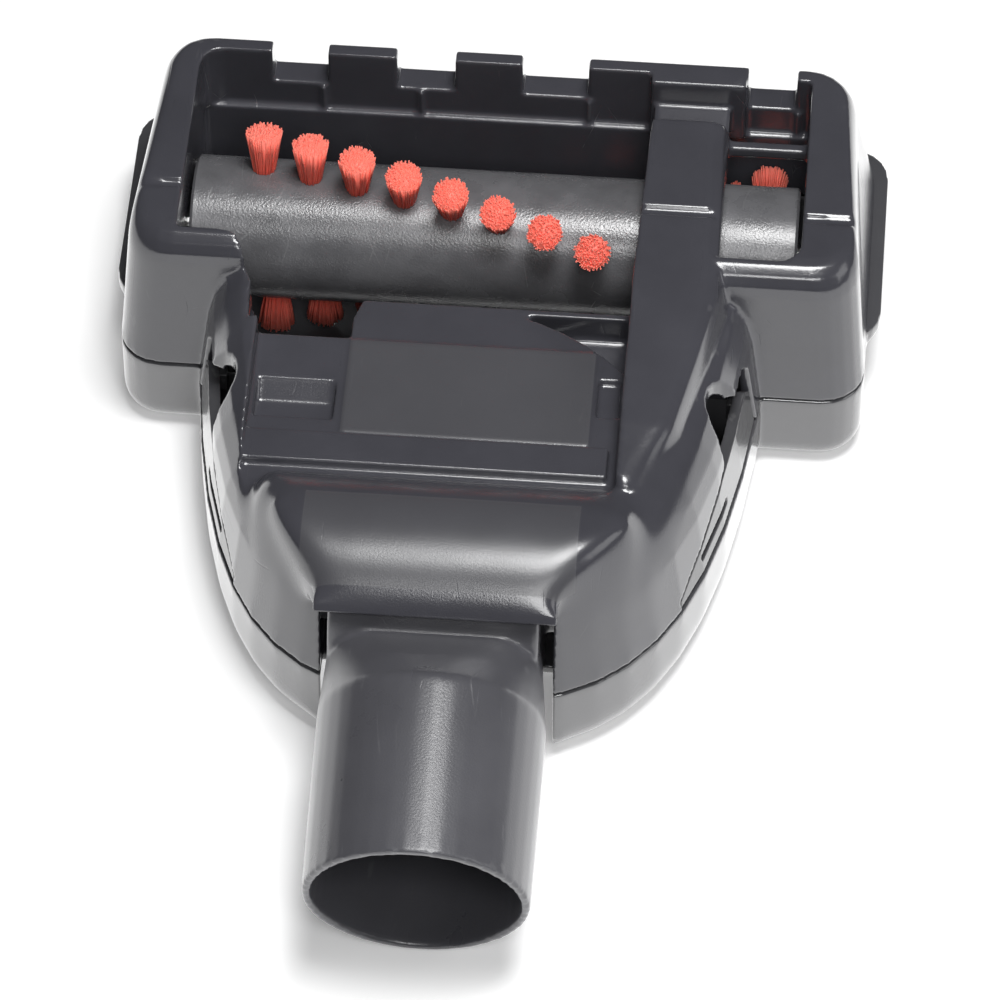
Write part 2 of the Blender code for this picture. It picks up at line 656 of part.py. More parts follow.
def lower_shell():
    shell = head_solid("lower_shell", SHELL_PLASTIC)
    fuse(shell, body_solid("body", LOWER_SEAM + EVEN, SHOULDER_Z, SHOULDER_TALL, SHOULDER_WIDE))

    # Recess of the sole plate, mouth and brush chamber
    cut(shell,
        box("plate_recess", (PLATE_LEFT, GUARD_LEFT + WALL), (PLATE_BACK, MOUTH_REAR + WALL),
            (PLATE_TOP, ABOVE)),
        slab("mouth", mouth_outline(), 'Z', (LEDGE_Z, ABOVE)),
        slab("chamber", chamber_outline(), 'Z', (BELOW, LEDGE_Z + EVEN)),
        box("chamber_rear", (MOUTH_LEFT + EVEN, MOUTH_RIGHT - EVEN), (CHAMBER_REAR + EVEN, 0.0),
            (LEDGE_Z, REAR_ROOF)))

    # Belt guard, its low floor behind the comb, and the hood
    fuse(shell,
         box("guard_floor", (GUARD_LEFT + EVEN, GUARD_RIGHT - EVEN), (PLATE_FRONT - SINK, COMB_STEP_Y + SINK),
             (PLATE_TOP - PLATE_THICK, COMB_STEP_FLOOR)),
         loft("guard", guard_sections()), hood_solid())
    beside = GUARD_RIGHT + 2 * GUARD_ROUND
    cut(shell,
        box("window_side", (GUARD_RIGHT, beside), (MOUTH_REAR + EVEN, GUARD_FRONT + GUARD_NOSE),
            (BELOW, ABOVE)),
        box("window_under", (GUARD_RIGHT - EVEN, beside), (CHAMBER_REAR + 2 * EVEN, 0.0),
            (LEDGE_Z - 2 * GUARD_ROUND, REAR_ROOF + EVEN)),
        box("cross_groove", (-HEAD_HALF, HEAD_HALF), (GROOVE_Y - GROOVE_WIDE / 2, GROOVE_Y + GROOVE_WIDE / 2),
            (RIM_Z - GROOVE_DEEP, ABOVE)),
        rod("guard_arch", 'X', (GUARD_LEFT_REAR - SINK, GUARD_RIGHT + SINK), (0.0, BRUSH_Z),
            CORE_RADIUS + 2 * RUN, sides=ROUND))
    for number, gap in enumerate(COMB_GAPS, 1):
        cut(shell, box(f"comb_gap_{number}", gap, (CHAMBER_FRONT - EVEN, HEAD_FRONT), (COMB_FLOOR, ABOVE)))

    # Hollows of the front wall and of the cheeks
    cut(shell, slab("front_hollow", [(CHAMBER_FRONT + WALL, BELOW), (HEAD_FRONT - WALL, BELOW),
                                     (RIM_FRONT - WALL + 0.001, LEDGE_Z), (CHAMBER_FRONT + WALL, LEDGE_Z)],
                    'X', (-CHEEK_OUTER, CHEEK_OUTER)))
    for side, word in ((-1, "left"), (1, "right")):
        inner = cheek_inner(side)
        through = (inner - side * 2 * CHEEK_WALL, inner + side * EVEN)
        cut(shell,
            box(f"{word}_cheek_hollow", (inner, side * CHEEK_OUTER), (MOUTH_REAR + EVEN, CHAMBER_FRONT),
                (BELOW, CHEEK_HOLLOW_TOP)),
            open_slot(f"{word}_axle_slot", through, (0.0, BRUSH_Z), PIN_RADIUS + RUN))

    # Inside of the body, with the slot that the neck swings in
    lip_z = PIVOT_Z + HOOD_INNER * sin(radians(LIP_ANGLE))
    cut(shell, rear_hollow(), hood_hollow(), belt_tunnel(), loft("guard_hollow", guard_sections(WALL)[2:-1]))
    disc = HOOD_RADIUS - SINK
    foot = LOWER_SEAM + 2 * EVEN
    for word, x in (("left", (SLOT_LEFT - CHEEKPLATE, SLOT_LEFT + SINK)),
                    ("right", (SLOT_RIGHT - SINK, SLOT_RIGHT + CHEEKPLATE))):
        plate = slab(f"neck_plate_{word}", arc((PIVOT_Y, PIVOT_Z), disc, 0, 180, 18)
                     + [(PIVOT_Y - disc, foot), (PIVOT_Y + disc, foot)], 'X', x)
        combine(plate, body_solid(f"neck_plate_{word}_envelope", LOWER_SEAM - SINK, HOOD_SHOULDER_Z,
                                  HOOD_SHOULDER_TALL, HOOD_SHOULDER_WIDE, inset=SINK), 'INTERSECT')
        fuse(shell, plate)
    drum_room = HOOD_INNER + EVEN
    cut(shell,
        rod("drum_space", 'X', (SLOT_LEFT, SLOT_RIGHT), (PIVOT_Y, PIVOT_Z), drum_room, sides=48),
        box("drum_foot", (SLOT_LEFT, SLOT_RIGHT), (PIVOT_Y - drum_room, PIVOT_Y + drum_room + WALL),
            (BELOW, PIVOT_Z)),
        box("neck_slot", (SLOT_LEFT, SLOT_RIGHT), (2 * BODY_END, PIVOT_Y - HOOD_INNER * 0.6), (BELOW, lip_z)))
    across = (SLOT_LEFT - 2 * CHEEKPLATE, SLOT_RIGHT + 2 * CHEEKPLATE)
    cut(shell, open_slot("trunnion_slot", across, (PIVOT_Y, PIVOT_Z), TRUNNION_RADIUS + GAP))

    # Windows of the side latches, wider at the front for a fingertip
    for side, word in ((-1, "left"), (1, "right")):
        scoop = (body_edge(SCOOP_INSET, SCOOP_Y, side), SCOOP_Y)
        cut(shell,
            slab(f"{word}_latch_window", latch_profile(LATCH_PLAY, LATCH_GAP_TALL), 'X',
                 (side * LATCH_INNER_X, side * HEAD_HALF)),
            rod(f"{word}_finger_scoop", 'Z', (LATCH_TOP + RUN, ABOVE), scoop, SCOOP_RADIUS))

    # Sole plate details
    under = PLATE_TOP - PLATE_THICK + SINK
    fuse(shell,
         box("label_field", LABEL_X, LABEL_Y, (PLATE_TOP - SINK, PLATE_TOP + LABEL_PROUD)),
         box("cross_band", BAND_X, BAND_Y, (PLATE_TOP - SINK, PLATE_TOP + BAND_PROUD)),
         box("window_bar", (GUARD_RIGHT - SINK, MOUTH_RIGHT + SINK),
             (WINDOW_BAR_Y - WINDOW_BAR_WIDE / 2, WINDOW_BAR_Y + WINDOW_BAR_WIDE / 2), WINDOW_BAR_Z),
         slab("intake_floor", intake_outline(PARTITION_THICK), 'Z',
              (PLATE_TOP - INTAKE_DEEP - PLATE_THICK, under)),
         box("finger_floor", (FINGER_X[0] - PLATE_THICK, FINGER_X[1] + PLATE_THICK),
             (FINGER_Y[0] - PLATE_THICK, FINGER_Y[1] + PLATE_THICK),
             (PLATE_TOP - FINGER_DEEP - PLATE_THICK, under)))
    cut(shell,
        slab("intake", intake_outline(), 'Z', (PLATE_TOP - INTAKE_DEEP, ABOVE)),
        slab("finger_recess", [(FINGER_Y[1], ABOVE), (FINGER_Y[1], PLATE_TOP - EVEN),
                               (FINGER_Y[1] - 0.4 * (FINGER_Y[1] - FINGER_Y[0]), PLATE_TOP - FINGER_DEEP),
                               (FINGER_Y[0], PLATE_TOP - FINGER_DEEP), (FINGER_Y[0], ABOVE)], 'X', FINGER_X),
        box("plate_slot", SLOT_X, SLOT_Y, (PLATE_TOP - SLOT_DEEP, ABOVE)))
    return shell


# Upper shell: the outer cover, with the ribs that carry the pieces inside

def head_plan(inset):
    return head_outline(HEAD_HALF - inset, HEAD_HALF - inset, HEAD_FRONT - inset, HEAD_REAR + inset,
                        HEAD_CORNER - min(inset, HEAD_CORNER / 2))


def back_sections(outline_at, lift):
    """Sections from the seam down to the flat back, over its rounded edge."""
    sections = [at_height(outline_at(0.0), UPPER_SEAM - lift)]
    for degrees in (0, 22.5, 45, 67.5, 90):
        z = BACK_ROLL_TALL * (1 - sin(radians(degrees))) + lift
        sections.append(at_height(outline_at(BACK_ROLL * (1 - cos(radians(degrees)))), z))
    return sections


def seat_span(x):
    return x - SEAT_WIDE / 2, x + SEAT_WIDE / 2


def screw_places():
    """The four clamp screws in plan, halfway between each bearing and the end of its seat."""
    reach = (RACE_RADIUS + SEAT_HALF) / 2 + GAP
    return [(x, TURBINE_Y + side * reach) for x in (SEAT_LEFT_X, SEAT_RIGHT_X) for side in (-1, 1)]


def latch_pivot(side):
    """A latch's hinge pin in plan, a set distance inside the body's outline."""
    return body_edge(LATCH_PIVOT_INSET, LATCH_PIVOT_Y, side), LATCH_PIVOT_Y


def upper_shell():
    shell = loft("upper_shell", back_sections(head_plan, 0.0), SHELL_PLASTIC)
    flange_half = HEAD_HALF + FLANGE_PROUD
    flange = head_outline(flange_half, flange_half, HEAD_FRONT + FLANGE_PROUD, FLANGE_REAR, HEAD_CORNER)
    fuse(shell, loft("back_body", back_sections(body_outline, EVEN)),
         slab("flange", flange, 'Z', (FLANGE_TOP - FLANGE_THICK, FLANGE_TOP)))
    hollow = slab("head_hollow", head_plan(WALL), 'Z', (WALL, ABOVE))
    fuse(hollow, slab("body_hollow", body_outline(WALL), 'Z', (WALL + EVEN, ABOVE + EVEN)))
    cut(shell, hollow)

    # Ribs that stand on the floor
    floor = WALL - SINK
    ribs = [box("partition", (BODY_X - BODY_HALF + WALL, GUARD_LEFT),
                (PLATE_FRONT - PARTITION_THICK, PLATE_FRONT), (floor, UPPER_SEAM)),
            box("front_rib", (MOUTH_LEFT, MOUTH_RIGHT), (CHAMBER_FRONT, CHAMBER_FRONT + CHEEK_WALL),
                (floor, UPPER_SEAM))]
    for side, word in ((-1, "left"), (1, "right")):
        face = cheek_inner(side)
        ribs.append(box(f"{word}_cheek_rib", (face, face - side * CHEEK_WALL),
                        (MOUTH_REAR, CHAMBER_FRONT + 2 * CHEEK_WALL), (floor - EVEN, UPPER_SEAM - EVEN)))
        ribs.append(box(f"{word}_block_pad", block_span(side), (-BLOCK_HALF / 2, BLOCK_HALF / 2),
                        (floor, BRUSH_Z - BLOCK_BELOW - GAP)))
        ribs.append(rod(f"{word}_latch_post", 'Z', (floor, UPPER_SEAM - EVEN), latch_pivot(side), LATCH_BOSS,
                        sides=16))
    for word, x in (("left", SEAT_LEFT_X), ("right", SEAT_RIGHT_X)):
        ribs.append(box(f"{word}_race_seat", seat_span(x), (TURBINE_Y - SEAT_HALF, TURBINE_Y + SEAT_HALF),
                        (floor, TURBINE_Z - GAP / 2)))
    for word, x in saddles():
        ribs.append(box(f"{word}_saddle", x, (PIVOT_Y - TRUNNION_RADIUS, PIVOT_Y + TRUNNION_RADIUS),
                        (floor, SADDLE_TOP)))
    for word, x in neck_slot_sides():
        ribs.append(box(f"{word}_slot_wall", x, (NECK_WALL_REAR, PIVOT_Y + DRUM_RADIUS),
                        (floor, UPPER_SEAM - EVEN)))
    fuse(shell, *ribs)
    cut(shell,
        box("nozzle", NOZZLE_X, (PLATE_FRONT - 2 * PARTITION_THICK, PLATE_FRONT + PARTITION_THICK), NOZZLE_Z),
        rod("race_bed", 'X', (SEAT_LEFT_X - SEAT_WIDE, SEAT_RIGHT_X + SEAT_WIDE), (TURBINE_Y, TURBINE_Z),
            RACE_RADIUS + GAP),
        rod("saddle_bed", 'X', (saddles()[0][1][0] - RUN, saddles()[1][1][1] + RUN), (PIVOT_Y, PIVOT_Z),
            TRUNNION_RADIUS + GAP, sides=24),
        box("back_slot", (SLOT_LEFT, SLOT_RIGHT), (2 * BODY_END, SLOT_FRONT), (-WALL, ABOVE)))
    for side, word in ((-1, "left"), (1, "right")):
        cut(shell, rod(f"{word}_latch_pin_hole", 'Z', (WALL + LATCH_BOSS, ABOVE), latch_pivot(side),
                       LATCH_PIN_RADIUS + GAP, sides=12))
    for number, place in enumerate(screw_places(), 1):
        cut(shell, rod(f"screw_hole_{number}", 'Z', (TURBINE_Z - SCREW_DEPTH - RUN, ABOVE), place,
                       SCREW_RADIUS + GAP, sides=10))
    return shell


# Brush

def tuft_places():
    """(x, degrees, tip radius) of every tuft, in rows that wind along the core."""
    made = []
    for row in range(TUFT_ROWS):
        turn = TUFT_FIRST_ANGLE + 360.0 * row / TUFT_ROWS
        start = TUFT_ROW_X + TUFT_ROW_SHIFT * row
        places = [(start + TUFT_PITCH * i, TUFT_TIP) for i in range(TUFT_COUNT)]
        places += [(GUARD_RIGHT + GAP + GUARD_TUFT_TIP, GUARD_TUFT_TIP), (WINDOW_TUFT_X, TUFT_TIP)]
        for x, tip in places:
            lead = END_TUFT_LEAD if x > BELT_X else 0.0
            made.append((x, turn - lead - TUFT_TWIST * (x - start) / TUFT_PITCH, tip))
    return made


def tuft_frame(x, degrees):
    """Stands a tuft on the core's axis, pointing out at its angle from straight up to the comb."""
    return Matrix.Translation((x, 0.0, BRUSH_Z)) @ Matrix.Rotation(radians(-degrees), 4, 'X')


def cone(foot, tip, low, high, sides=12):
    bm = bmesh.new()
    bmesh.ops.create_cone(bm, cap_ends=True, segments=sides, radius1=foot, radius2=tip, depth=high - low)
    bmesh.ops.translate(bm, verts=bm.verts[:], vec=(0, 0, (low + high) / 2))
    return bm


def tuft_foot(tip):
    return min(TUFT_FOOT, tip)


def tufts():
    for number, (x, degrees, tip) in enumerate(tuft_places(), 1):
        bm = cone(tuft_foot(tip), tip, CORE_RADIUS - TUFT_DEPTH + GAP, TIP_RADIUS)
        bmesh.ops.transform(bm, verts=bm.verts[:], matrix=tuft_frame(x, degrees))
        piece = from_bmesh(f"bristle_tuft_{number:02d}", bm, BRISTLE)
        smooth(piece)
        move_origin(piece, BRUSH_AXIS)


def brush_core():
    groove = BELT_WIDE / 2 + RUN
    bore = PIN_RADIUS + GAP
    edge = RUN
    profile = [(CORE_LEFT + PIN_IN_CORE, 0.0), (CORE_LEFT + PIN_IN_CORE, bore), (CORE_LEFT, bore),
               (CORE_LEFT, CORE_RADIUS - edge), (CORE_LEFT + edge, CORE_RADIUS),
               (BELT_X - groove, CORE_RADIUS), (BELT_X - groove, BRUSH_PULLEY_RADIUS),
               (BELT_X + groove, BRUSH_PULLEY_RADIUS), (BELT_X + groove, CORE_RADIUS),
               (CORE_RIGHT - edge, CORE_RADIUS), (CORE_RIGHT, CORE_RADIUS - edge),
               (CORE_RIGHT, bore), (CORE_RIGHT - PIN_IN_CORE, bore), (CORE_RIGHT - PIN_IN_CORE, 0.0)]
    core = turned("brush_core", profile, (0.0, BRUSH_Z), ROUND, ROLLER_PLASTIC)
    holes = bmesh.new()
    for x, degrees, tip in tuft_places():
        foot = tuft_foot(tip)
        low, high = CORE_RADIUS - TUFT_DEPTH, CORE_RADIUS + GAP
        spread = (tip - foot) * (high - low) / (TIP_RADIUS - low)
        hole = cone(foot + GAP, foot + spread + GAP, low, high)
        hole.transform(tuft_frame(x, degrees))
        mesh = bpy.data.meshes.new("tuft_hole")
        hole.to_mesh(mesh)
        hole.free()
        holes.from_mesh(mesh)
        bpy.data.meshes.remove(mesh)
    cut(core, from_bmesh("tuft_holes", holes))
    return core


def block_span(side):
    """A bearing block's span of X, from its inner face out."""
    return cheek_inner(side) + side * GAP, side * (CHEEK_OUTER - GAP)


def ring(name, ends, centre, inner, outer, paint):
    low, high = sorted(ends)
    return turned(name, [(low, inner), (low, outer), (high, outer), (high, inner)], centre, SMALL_ROUND, paint)


def brush_bearings():
    for side, word in ((-1, "left"), (1, "right")):
        face = block_span(side)[0]
        core_end = CORE_RIGHT if side > 0 else CORE_LEFT
        ends = sorted((core_end - side * (PIN_IN_CORE - GAP), face + side * BUSH_LENGTH))
        pin = rod(f"{word}_axle_pin", 'X', ends, (0.0, BRUSH_Z), PIN_RADIUS, SMALL_ROUND, STEEL)
        move_origin(pin, BRUSH_AXIS)
        outer = PIN_RADIUS + GAP + BUSH_WALL
        ring(f"{word}_axle_bush", (face, face + side * BUSH_LENGTH), (0.0, BRUSH_Z), PIN_RADIUS + GAP, outer,
             BRONZE)
        block = box(f"{word}_end_block", block_span(side), (-BLOCK_HALF, BLOCK_HALF),
                    (BRUSH_Z - BLOCK_BELOW, BRUSH_Z + BLOCK_ABOVE), BLACK_PLASTIC)
        ends = sorted((face - side * RUN, face + side * (BUSH_LENGTH + GAP)))
        cut(block, rod(f"{word}_block_bore", 'X', ends, (0.0, BRUSH_Z), outer + GAP))


# Belt drive and turbine

def belt_loop(extra):
    """The belt's path round both pulleys as (y, z), outside their seats by extra."""
    reach = Vector((TURBINE_Y, TURBINE_Z - BRUSH_Z))
    along = degrees_of(reach)
    lean = asin((BELT_INNER - SMALL_BELT_INNER) / reach.length) * 180 / pi
    return (arc((0.0, BRUSH_Z), BELT_INNER + extra, along + 90 - lean, along + 270 + lean, 20)
            + arc((TURBINE_Y, TURBINE_Z), SMALL_BELT_INNER + extra, along - 90 + lean, along + 90 - lean, 10))


def degrees_of(vector):
    return Vector((1.0, 0.0)).angle_signed(vector) * -180 / pi


def drive_belt():
    x = (BELT_X - BELT_WIDE / 2, BELT_X + BELT_WIDE / 2)
    belt = slab("drive_belt", belt_loop(BELT_THICK), 'X', x, BELT_RUBBER)
    cut(belt, slab("belt_inside", belt_loop(0.0), 'X', (x[0] - SINK, x[1] + SINK)))


def vane_outline():
    """The turbine wheel seen along its axis: swept vanes on a hub."""
    points = []
    middle = (HUB_RADIUS + TURBINE_RADIUS) / 2
    for i in range(VANES):
        turn = 2 * pi * i / VANES
        for radius, sweep, face in ((HUB_RADIUS, 0.0, -1), (middle, 0.35, -1), (TURBINE_RADIUS, 1.0, -1),
                                    (TURBINE_RADIUS, 1.0, 1), (middle, 0.35, 1), (HUB_RADIUS, 0.0, 1)):
            angle = turn + radians(VANE_SWEEP) * sweep + face * VANE_THICK / 2 / radius
            points.append((TURBINE_Y + radius * cos(angle), TURBINE_Z + radius * sin(angle)))
    return points


def turbine():
    centre = (TURBINE_Y, TURBINE_Z)
    bore = SHAFT_RADIUS + GAP
    wheel = slab("turbine_wheel", vane_outline(), 'X', (TURBINE_LEFT, TURBINE_RIGHT), TURBINE_PLASTIC)
    middle = (TURBINE_LEFT + TURBINE_RIGHT) / 2
    fuse(wheel, rod("turbine_disc", 'X', (middle - VANE_THICK / 2, middle + VANE_THICK / 2), centre,
                    TURBINE_RADIUS - RUN, sides=30))
    cut(wheel, rod("turbine_bore", 'X', (TURBINE_LEFT - RUN, TURBINE_RIGHT + RUN), centre, bore))
    move_origin(wheel, TURBINE_AXIS)
    pulley_half = BELT_WIDE / 2 + PULLEY_FLANGE
    shaft = rod("turbine_shaft", 'X', (SEAT_LEFT_X - SEAT_WIDE / 2, BELT_X + pulley_half + RUN), centre,
                SHAFT_RADIUS, SMALL_ROUND, STEEL)
    move_origin(shaft, TURBINE_AXIS)
    seat = BELT_WIDE / 2 + GAP
    flange = SMALL_BELT_OUTER + RUN
    profile = [(BELT_X - pulley_half, bore), (BELT_X - pulley_half, flange), (BELT_X - seat, flange),
               (BELT_X - seat, TURBINE_PULLEY_RADIUS), (BELT_X + seat, TURBINE_PULLEY_RADIUS),
               (BELT_X + seat, flange), (BELT_X + pulley_half, flange), (BELT_X + pulley_half, bore)]
    turned("turbine_pulley", profile, centre, 24, TURBINE_PLASTIC)
    for word, x in (("left", SEAT_LEFT_X), ("right", SEAT_RIGHT_X)):
        ring(f"{word}_turbine_bearing", (x - RACE_LENGTH / 2, x + RACE_LENGTH / 2), centre, bore, RACE_RADIUS,
             BRONZE)
        clamp = box(f"{word}_bearing_clamp", seat_span(x), (TURBINE_Y - SEAT_HALF, TURBINE_Y + SEAT_HALF),
                    (TURBINE_Z + GAP / 2, TURBINE_Z + CLAMP_TALL), BLACK_PLASTIC)
        cut(clamp, rod(f"{word}_clamp_bed", 'X', (x - SEAT_WIDE, x + SEAT_WIDE), centre, RACE_RADIUS + GAP))
        for number, place in enumerate(screw_places(), 1):
            if abs(place[0] - x) < SEAT_WIDE:
                cut(clamp, rod(f"clamp_hole_{number}", 'Z', (0.0, ABOVE), place, SCREW_RADIUS + GAP, sides=10))
    head_z = TURBINE_Z + CLAMP_TALL + GAP
    for number, place in enumerate(screw_places(), 1):
        screw = rod(f"clamp_screw_{number}", 'Z', (TURBINE_Z - SCREW_DEPTH, head_z + SINK), place,
                    SCREW_RADIUS, 12, STEEL)
        fuse(screw, rod(f"screw_head_{number}", 'Z', (head_z, head_z + SCREW_HEAD_TALL), place, SCREW_HEAD,
                        sides=12))


# Neck: a drum that swivels in the hood, flared into the tube for the wand

def neck_ring(centre, half_wide, half_tall, corner, tilt, count=10):
    """A rounded section of the neck, tilted about X, with the same number of points each time."""
    points = []
    for quarter, (sx, sz) in enumerate(((1, 1), (-1, 1), (-1, -1), (1, -1))):
        for i in range(count):
            angle = (quarter + (i + 0.5) / count) * pi / 2
            x = sx * (half_wide - corner) + corner * cos(angle)
            up = sz * (half_tall - corner) + corner * sin(angle)
            points.append((centre[0] + x, centre[1] - up * sin(tilt), centre[2] + up * cos(tilt)))
    return points


def neck_solid(name, inset, start, past_end, paint=None):
    """The flare and the tube, with their walls drawn in by inset."""
    tilt = radians(DROOP)
    half_tall = (FLARE_TOP - FLARE_BOTTOM) / 2
    flare_z = (FLARE_TOP + FLARE_BOTTOM) / 2
    length = (TUBE_START_Y - MOUTH_CENTRE_Y) / cos(tilt) + past_end
    mouth = (NECK_X, TUBE_START_Y - length * cos(tilt), TUBE_START_Z - length * sin(tilt))
    sections = [neck_ring((DRUM_X, start, flare_z), DRUM_HALF - inset, half_tall - inset, FLARE_CORNER - inset,
                          0.0)]
    for t in (0.35, 0.7, 1.0):
        def between(a, b):
            return a + (b - a) * t
        radius = TUBE_RADIUS - inset
        wide = between(DRUM_HALF - inset, radius)
        tall = between(half_tall - inset, radius)
        corner = min(wide, tall, between(FLARE_CORNER - inset, radius))
        place = (between(DRUM_X, NECK_X), between(FLARE_Y, TUBE_START_Y), between(flare_z, TUBE_START_Z))
        sections.append(neck_ring(place, wide, tall, corner, tilt * t))
    end = MOUTH_RADIUS - inset
    sections.append(neck_ring(mouth, end, end, end, tilt))
    return loft(name, sections, paint)


def neck():
    drum = (DRUM_X - DRUM_HALF, DRUM_X + DRUM_HALF)
    piece = neck_solid("neck", 0.0, FLARE_Y, 0.0, NECK_PLASTIC)
    centre = (PIVOT_Y, PIVOT_Z)
    (_, left), (_, right) = saddles()
    fuse(piece, rod("drum", 'X', drum, centre, DRUM_RADIUS, sides=48),
         rod("trunnions", 'X', (left[1] - CHEEKPLATE / 2, right[0] + CHEEKPLATE / 2), centre, TRUNNION_RADIUS,
             sides=24))
    inside = rod("drum_inside", 'X', (drum[0] + NECK_WALL, drum[1] - NECK_WALL), centre,
                 DRUM_RADIUS - NECK_WALL, sides=48)
    inlet = 2 * NECK_WALL
    cut(piece, neck_solid("neck_bore", NECK_WALL, PIVOT_Y, RUN), inside,
        box("inlet", (drum[0] + inlet, drum[1] - inlet), (PIVOT_Y, PIVOT_Y + 2 * DRUM_RADIUS),
            (PIVOT_Z - INLET_BELOW, PIVOT_Z + INLET_ABOVE)))
    move_origin(piece, NECK_AXIS)


# Side latches

def latches():
    for side, word in ((-1, "left"), (1, "right")):
        piece = body_solid(f"{word}_latch", LOWER_SEAM + GAP, SHOULDER_Z, SHOULDER_TALL, SHOULDER_WIDE,
                           inset=GAP, paint=LATCH_PLASTIC)
        combine(piece, slab(f"{word}_latch_side", latch_profile(0.0, 0.0), 'X',
                            (side * LATCH_INNER_X, side * HEAD_HALF)), 'INTERSECT')
        cut(piece, body_solid(f"{word}_latch_inside", BELOW - SINK, SHOULDER_Z, SHOULDER_TALL, SHOULDER_WIDE,
                              inset=LATCH_THICK))
        x, y = latch_pivot(side)
        low = LOWER_SEAM + 2 * GAP
        boss = rod(f"{word}_latch_boss", 'Z', (low, low + LATCH_BOSS_TALL), (x, y), LATCH_BOSS, sides=16)
        hook_x = body_edge(HOOK_INSET, LATCH_FRONT, side)
        root = box(f"{word}_hook_root",
                   (hook_x - side * HOOK_THICK, body_edge(LATCH_THICK - SINK, LATCH_FRONT, side)),
                   (LATCH_FRONT - LATCH_HOOK, LATCH_FRONT - SINK), LATCH_HOOK_Z)
        hook = box(f"{word}_hook", (hook_x - side * (HOOK_THICK - EVEN), hook_x),
                   (LATCH_FRONT - LATCH_HOOK + EVEN, LATCH_FRONT + LATCH_HOOK),
                   (LATCH_HOOK_Z[0] + EVEN, LATCH_HOOK_Z[1] - EVEN))
        fuse(piece, boss, root, hook)
        groove = box(f"{word}_grip_groove", (side * LATCH_INNER_X, side * HEAD_HALF), GRIP_Y, GRIP_Z)
        cut(groove, body_solid(f"{word}_grip_floor", BELOW, SHOULDER_Z, SHOULDER_TALL, SHOULDER_WIDE,
                               inset=GAP + GRIP_DEEP))
        cut(piece, groove,
            rod(f"{word}_latch_bore", 'Z', (0.0, ABOVE), (x, y), LATCH_PIN_RADIUS + GAP, sides=12))
        move_origin(piece, (x, y, 0.0))
        rod(f"{word}_latch_pin", 'Z', (WALL + LATCH_BOSS + GAP, low + LATCH_BOSS_TALL), (x, y),
            LATCH_PIN_RADIUS, 12, STEEL)


lower_shell()
upper_shell()
brush_core()
tufts()
brush_bearings()
drive_belt()
turbine()
neck()
latches()
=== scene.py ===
import json
import math
import random

import bpy
from mathutils import Matrix, Vector


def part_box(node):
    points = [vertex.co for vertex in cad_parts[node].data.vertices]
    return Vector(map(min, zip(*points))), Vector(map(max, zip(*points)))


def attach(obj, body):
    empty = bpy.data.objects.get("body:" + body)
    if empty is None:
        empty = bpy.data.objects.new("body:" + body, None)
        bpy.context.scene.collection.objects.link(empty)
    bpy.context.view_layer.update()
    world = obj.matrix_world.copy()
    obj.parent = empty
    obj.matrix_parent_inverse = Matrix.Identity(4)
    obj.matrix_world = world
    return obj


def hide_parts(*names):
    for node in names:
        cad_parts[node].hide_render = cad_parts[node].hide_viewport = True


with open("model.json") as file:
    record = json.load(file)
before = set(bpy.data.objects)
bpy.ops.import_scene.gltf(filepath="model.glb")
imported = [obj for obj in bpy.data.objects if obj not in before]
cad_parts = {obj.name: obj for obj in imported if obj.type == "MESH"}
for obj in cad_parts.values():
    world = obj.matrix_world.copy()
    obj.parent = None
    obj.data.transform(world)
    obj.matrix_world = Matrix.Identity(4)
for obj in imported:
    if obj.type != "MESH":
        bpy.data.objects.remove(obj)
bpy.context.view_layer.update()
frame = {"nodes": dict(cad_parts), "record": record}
nodes = frame["nodes"]
joints = {joint["name"]: joint for joint in frame["record"]["behaviour"]["joints"]}
brushAxis = Vector(joints["brush_spin"]["pos_m"])  # the brush turns about X through here
neckAxis = Vector(joints["neck_swivel"]["pos_m"])  # and the neck swivels about X through here
cadMerge = 0.000005  # joins the loose triangles of a CAD copy
spinMerge = 0.000002  # joins what a spin leaves double
print("frame loaded")


# tools that every piece uses

def pickOnly(piece):
    bpy.ops.object.select_all(action="DESELECT")
    piece.select_set(True)
    bpy.context.view_layer.objects.active = piece


def finishWith(piece, kind, **settings):
    pickOnly(piece)
    modifier = piece.modifiers.new(kind.lower(), kind)
    for name, value in settings.items():
        setattr(modifier, name, value)
    bpy.ops.object.modifier_apply(modifier=modifier.name)


def cadCopy(node, name):
    piece = nodes[node].copy()
    piece.data = nodes[node].data.copy()
    piece.name = name
    piece.parent = None
    for key in list(piece.keys()):
        del piece[key]
    bpy.context.scene.collection.objects.link(piece)
    pickOnly(piece)
    bpy.ops.object.mode_set(mode="EDIT")
    bpy.ops.mesh.select_all(action="SELECT")
    bpy.ops.mesh.remove_doubles(threshold=cadMerge)
    bpy.ops.object.mode_set(mode="OBJECT")
    return piece


# a new object from points and edges or faces, alone in the selection
def meshPiece(name, places, edges, faces):
    mesh = bpy.data.meshes.new(name)
    mesh.from_pydata(places, edges, faces)
    piece = bpy.data.objects.new(name, mesh)
    bpy.context.scene.collection.objects.link(piece)
    pickOnly(piece)
    return piece


def blockBetween(name, low, high):
    middle = [(a + b) / 2 for a, b in zip(low, high)]
    size = [b - a for a, b in zip(low, high)]
    bpy.ops.mesh.primitive_cube_add(size=1.0, location=middle, scale=size)
    block = bpy.context.object
    block.name = name
    bpy.ops.object.transform_apply(location=True, rotation=True, scale=True)
    return block


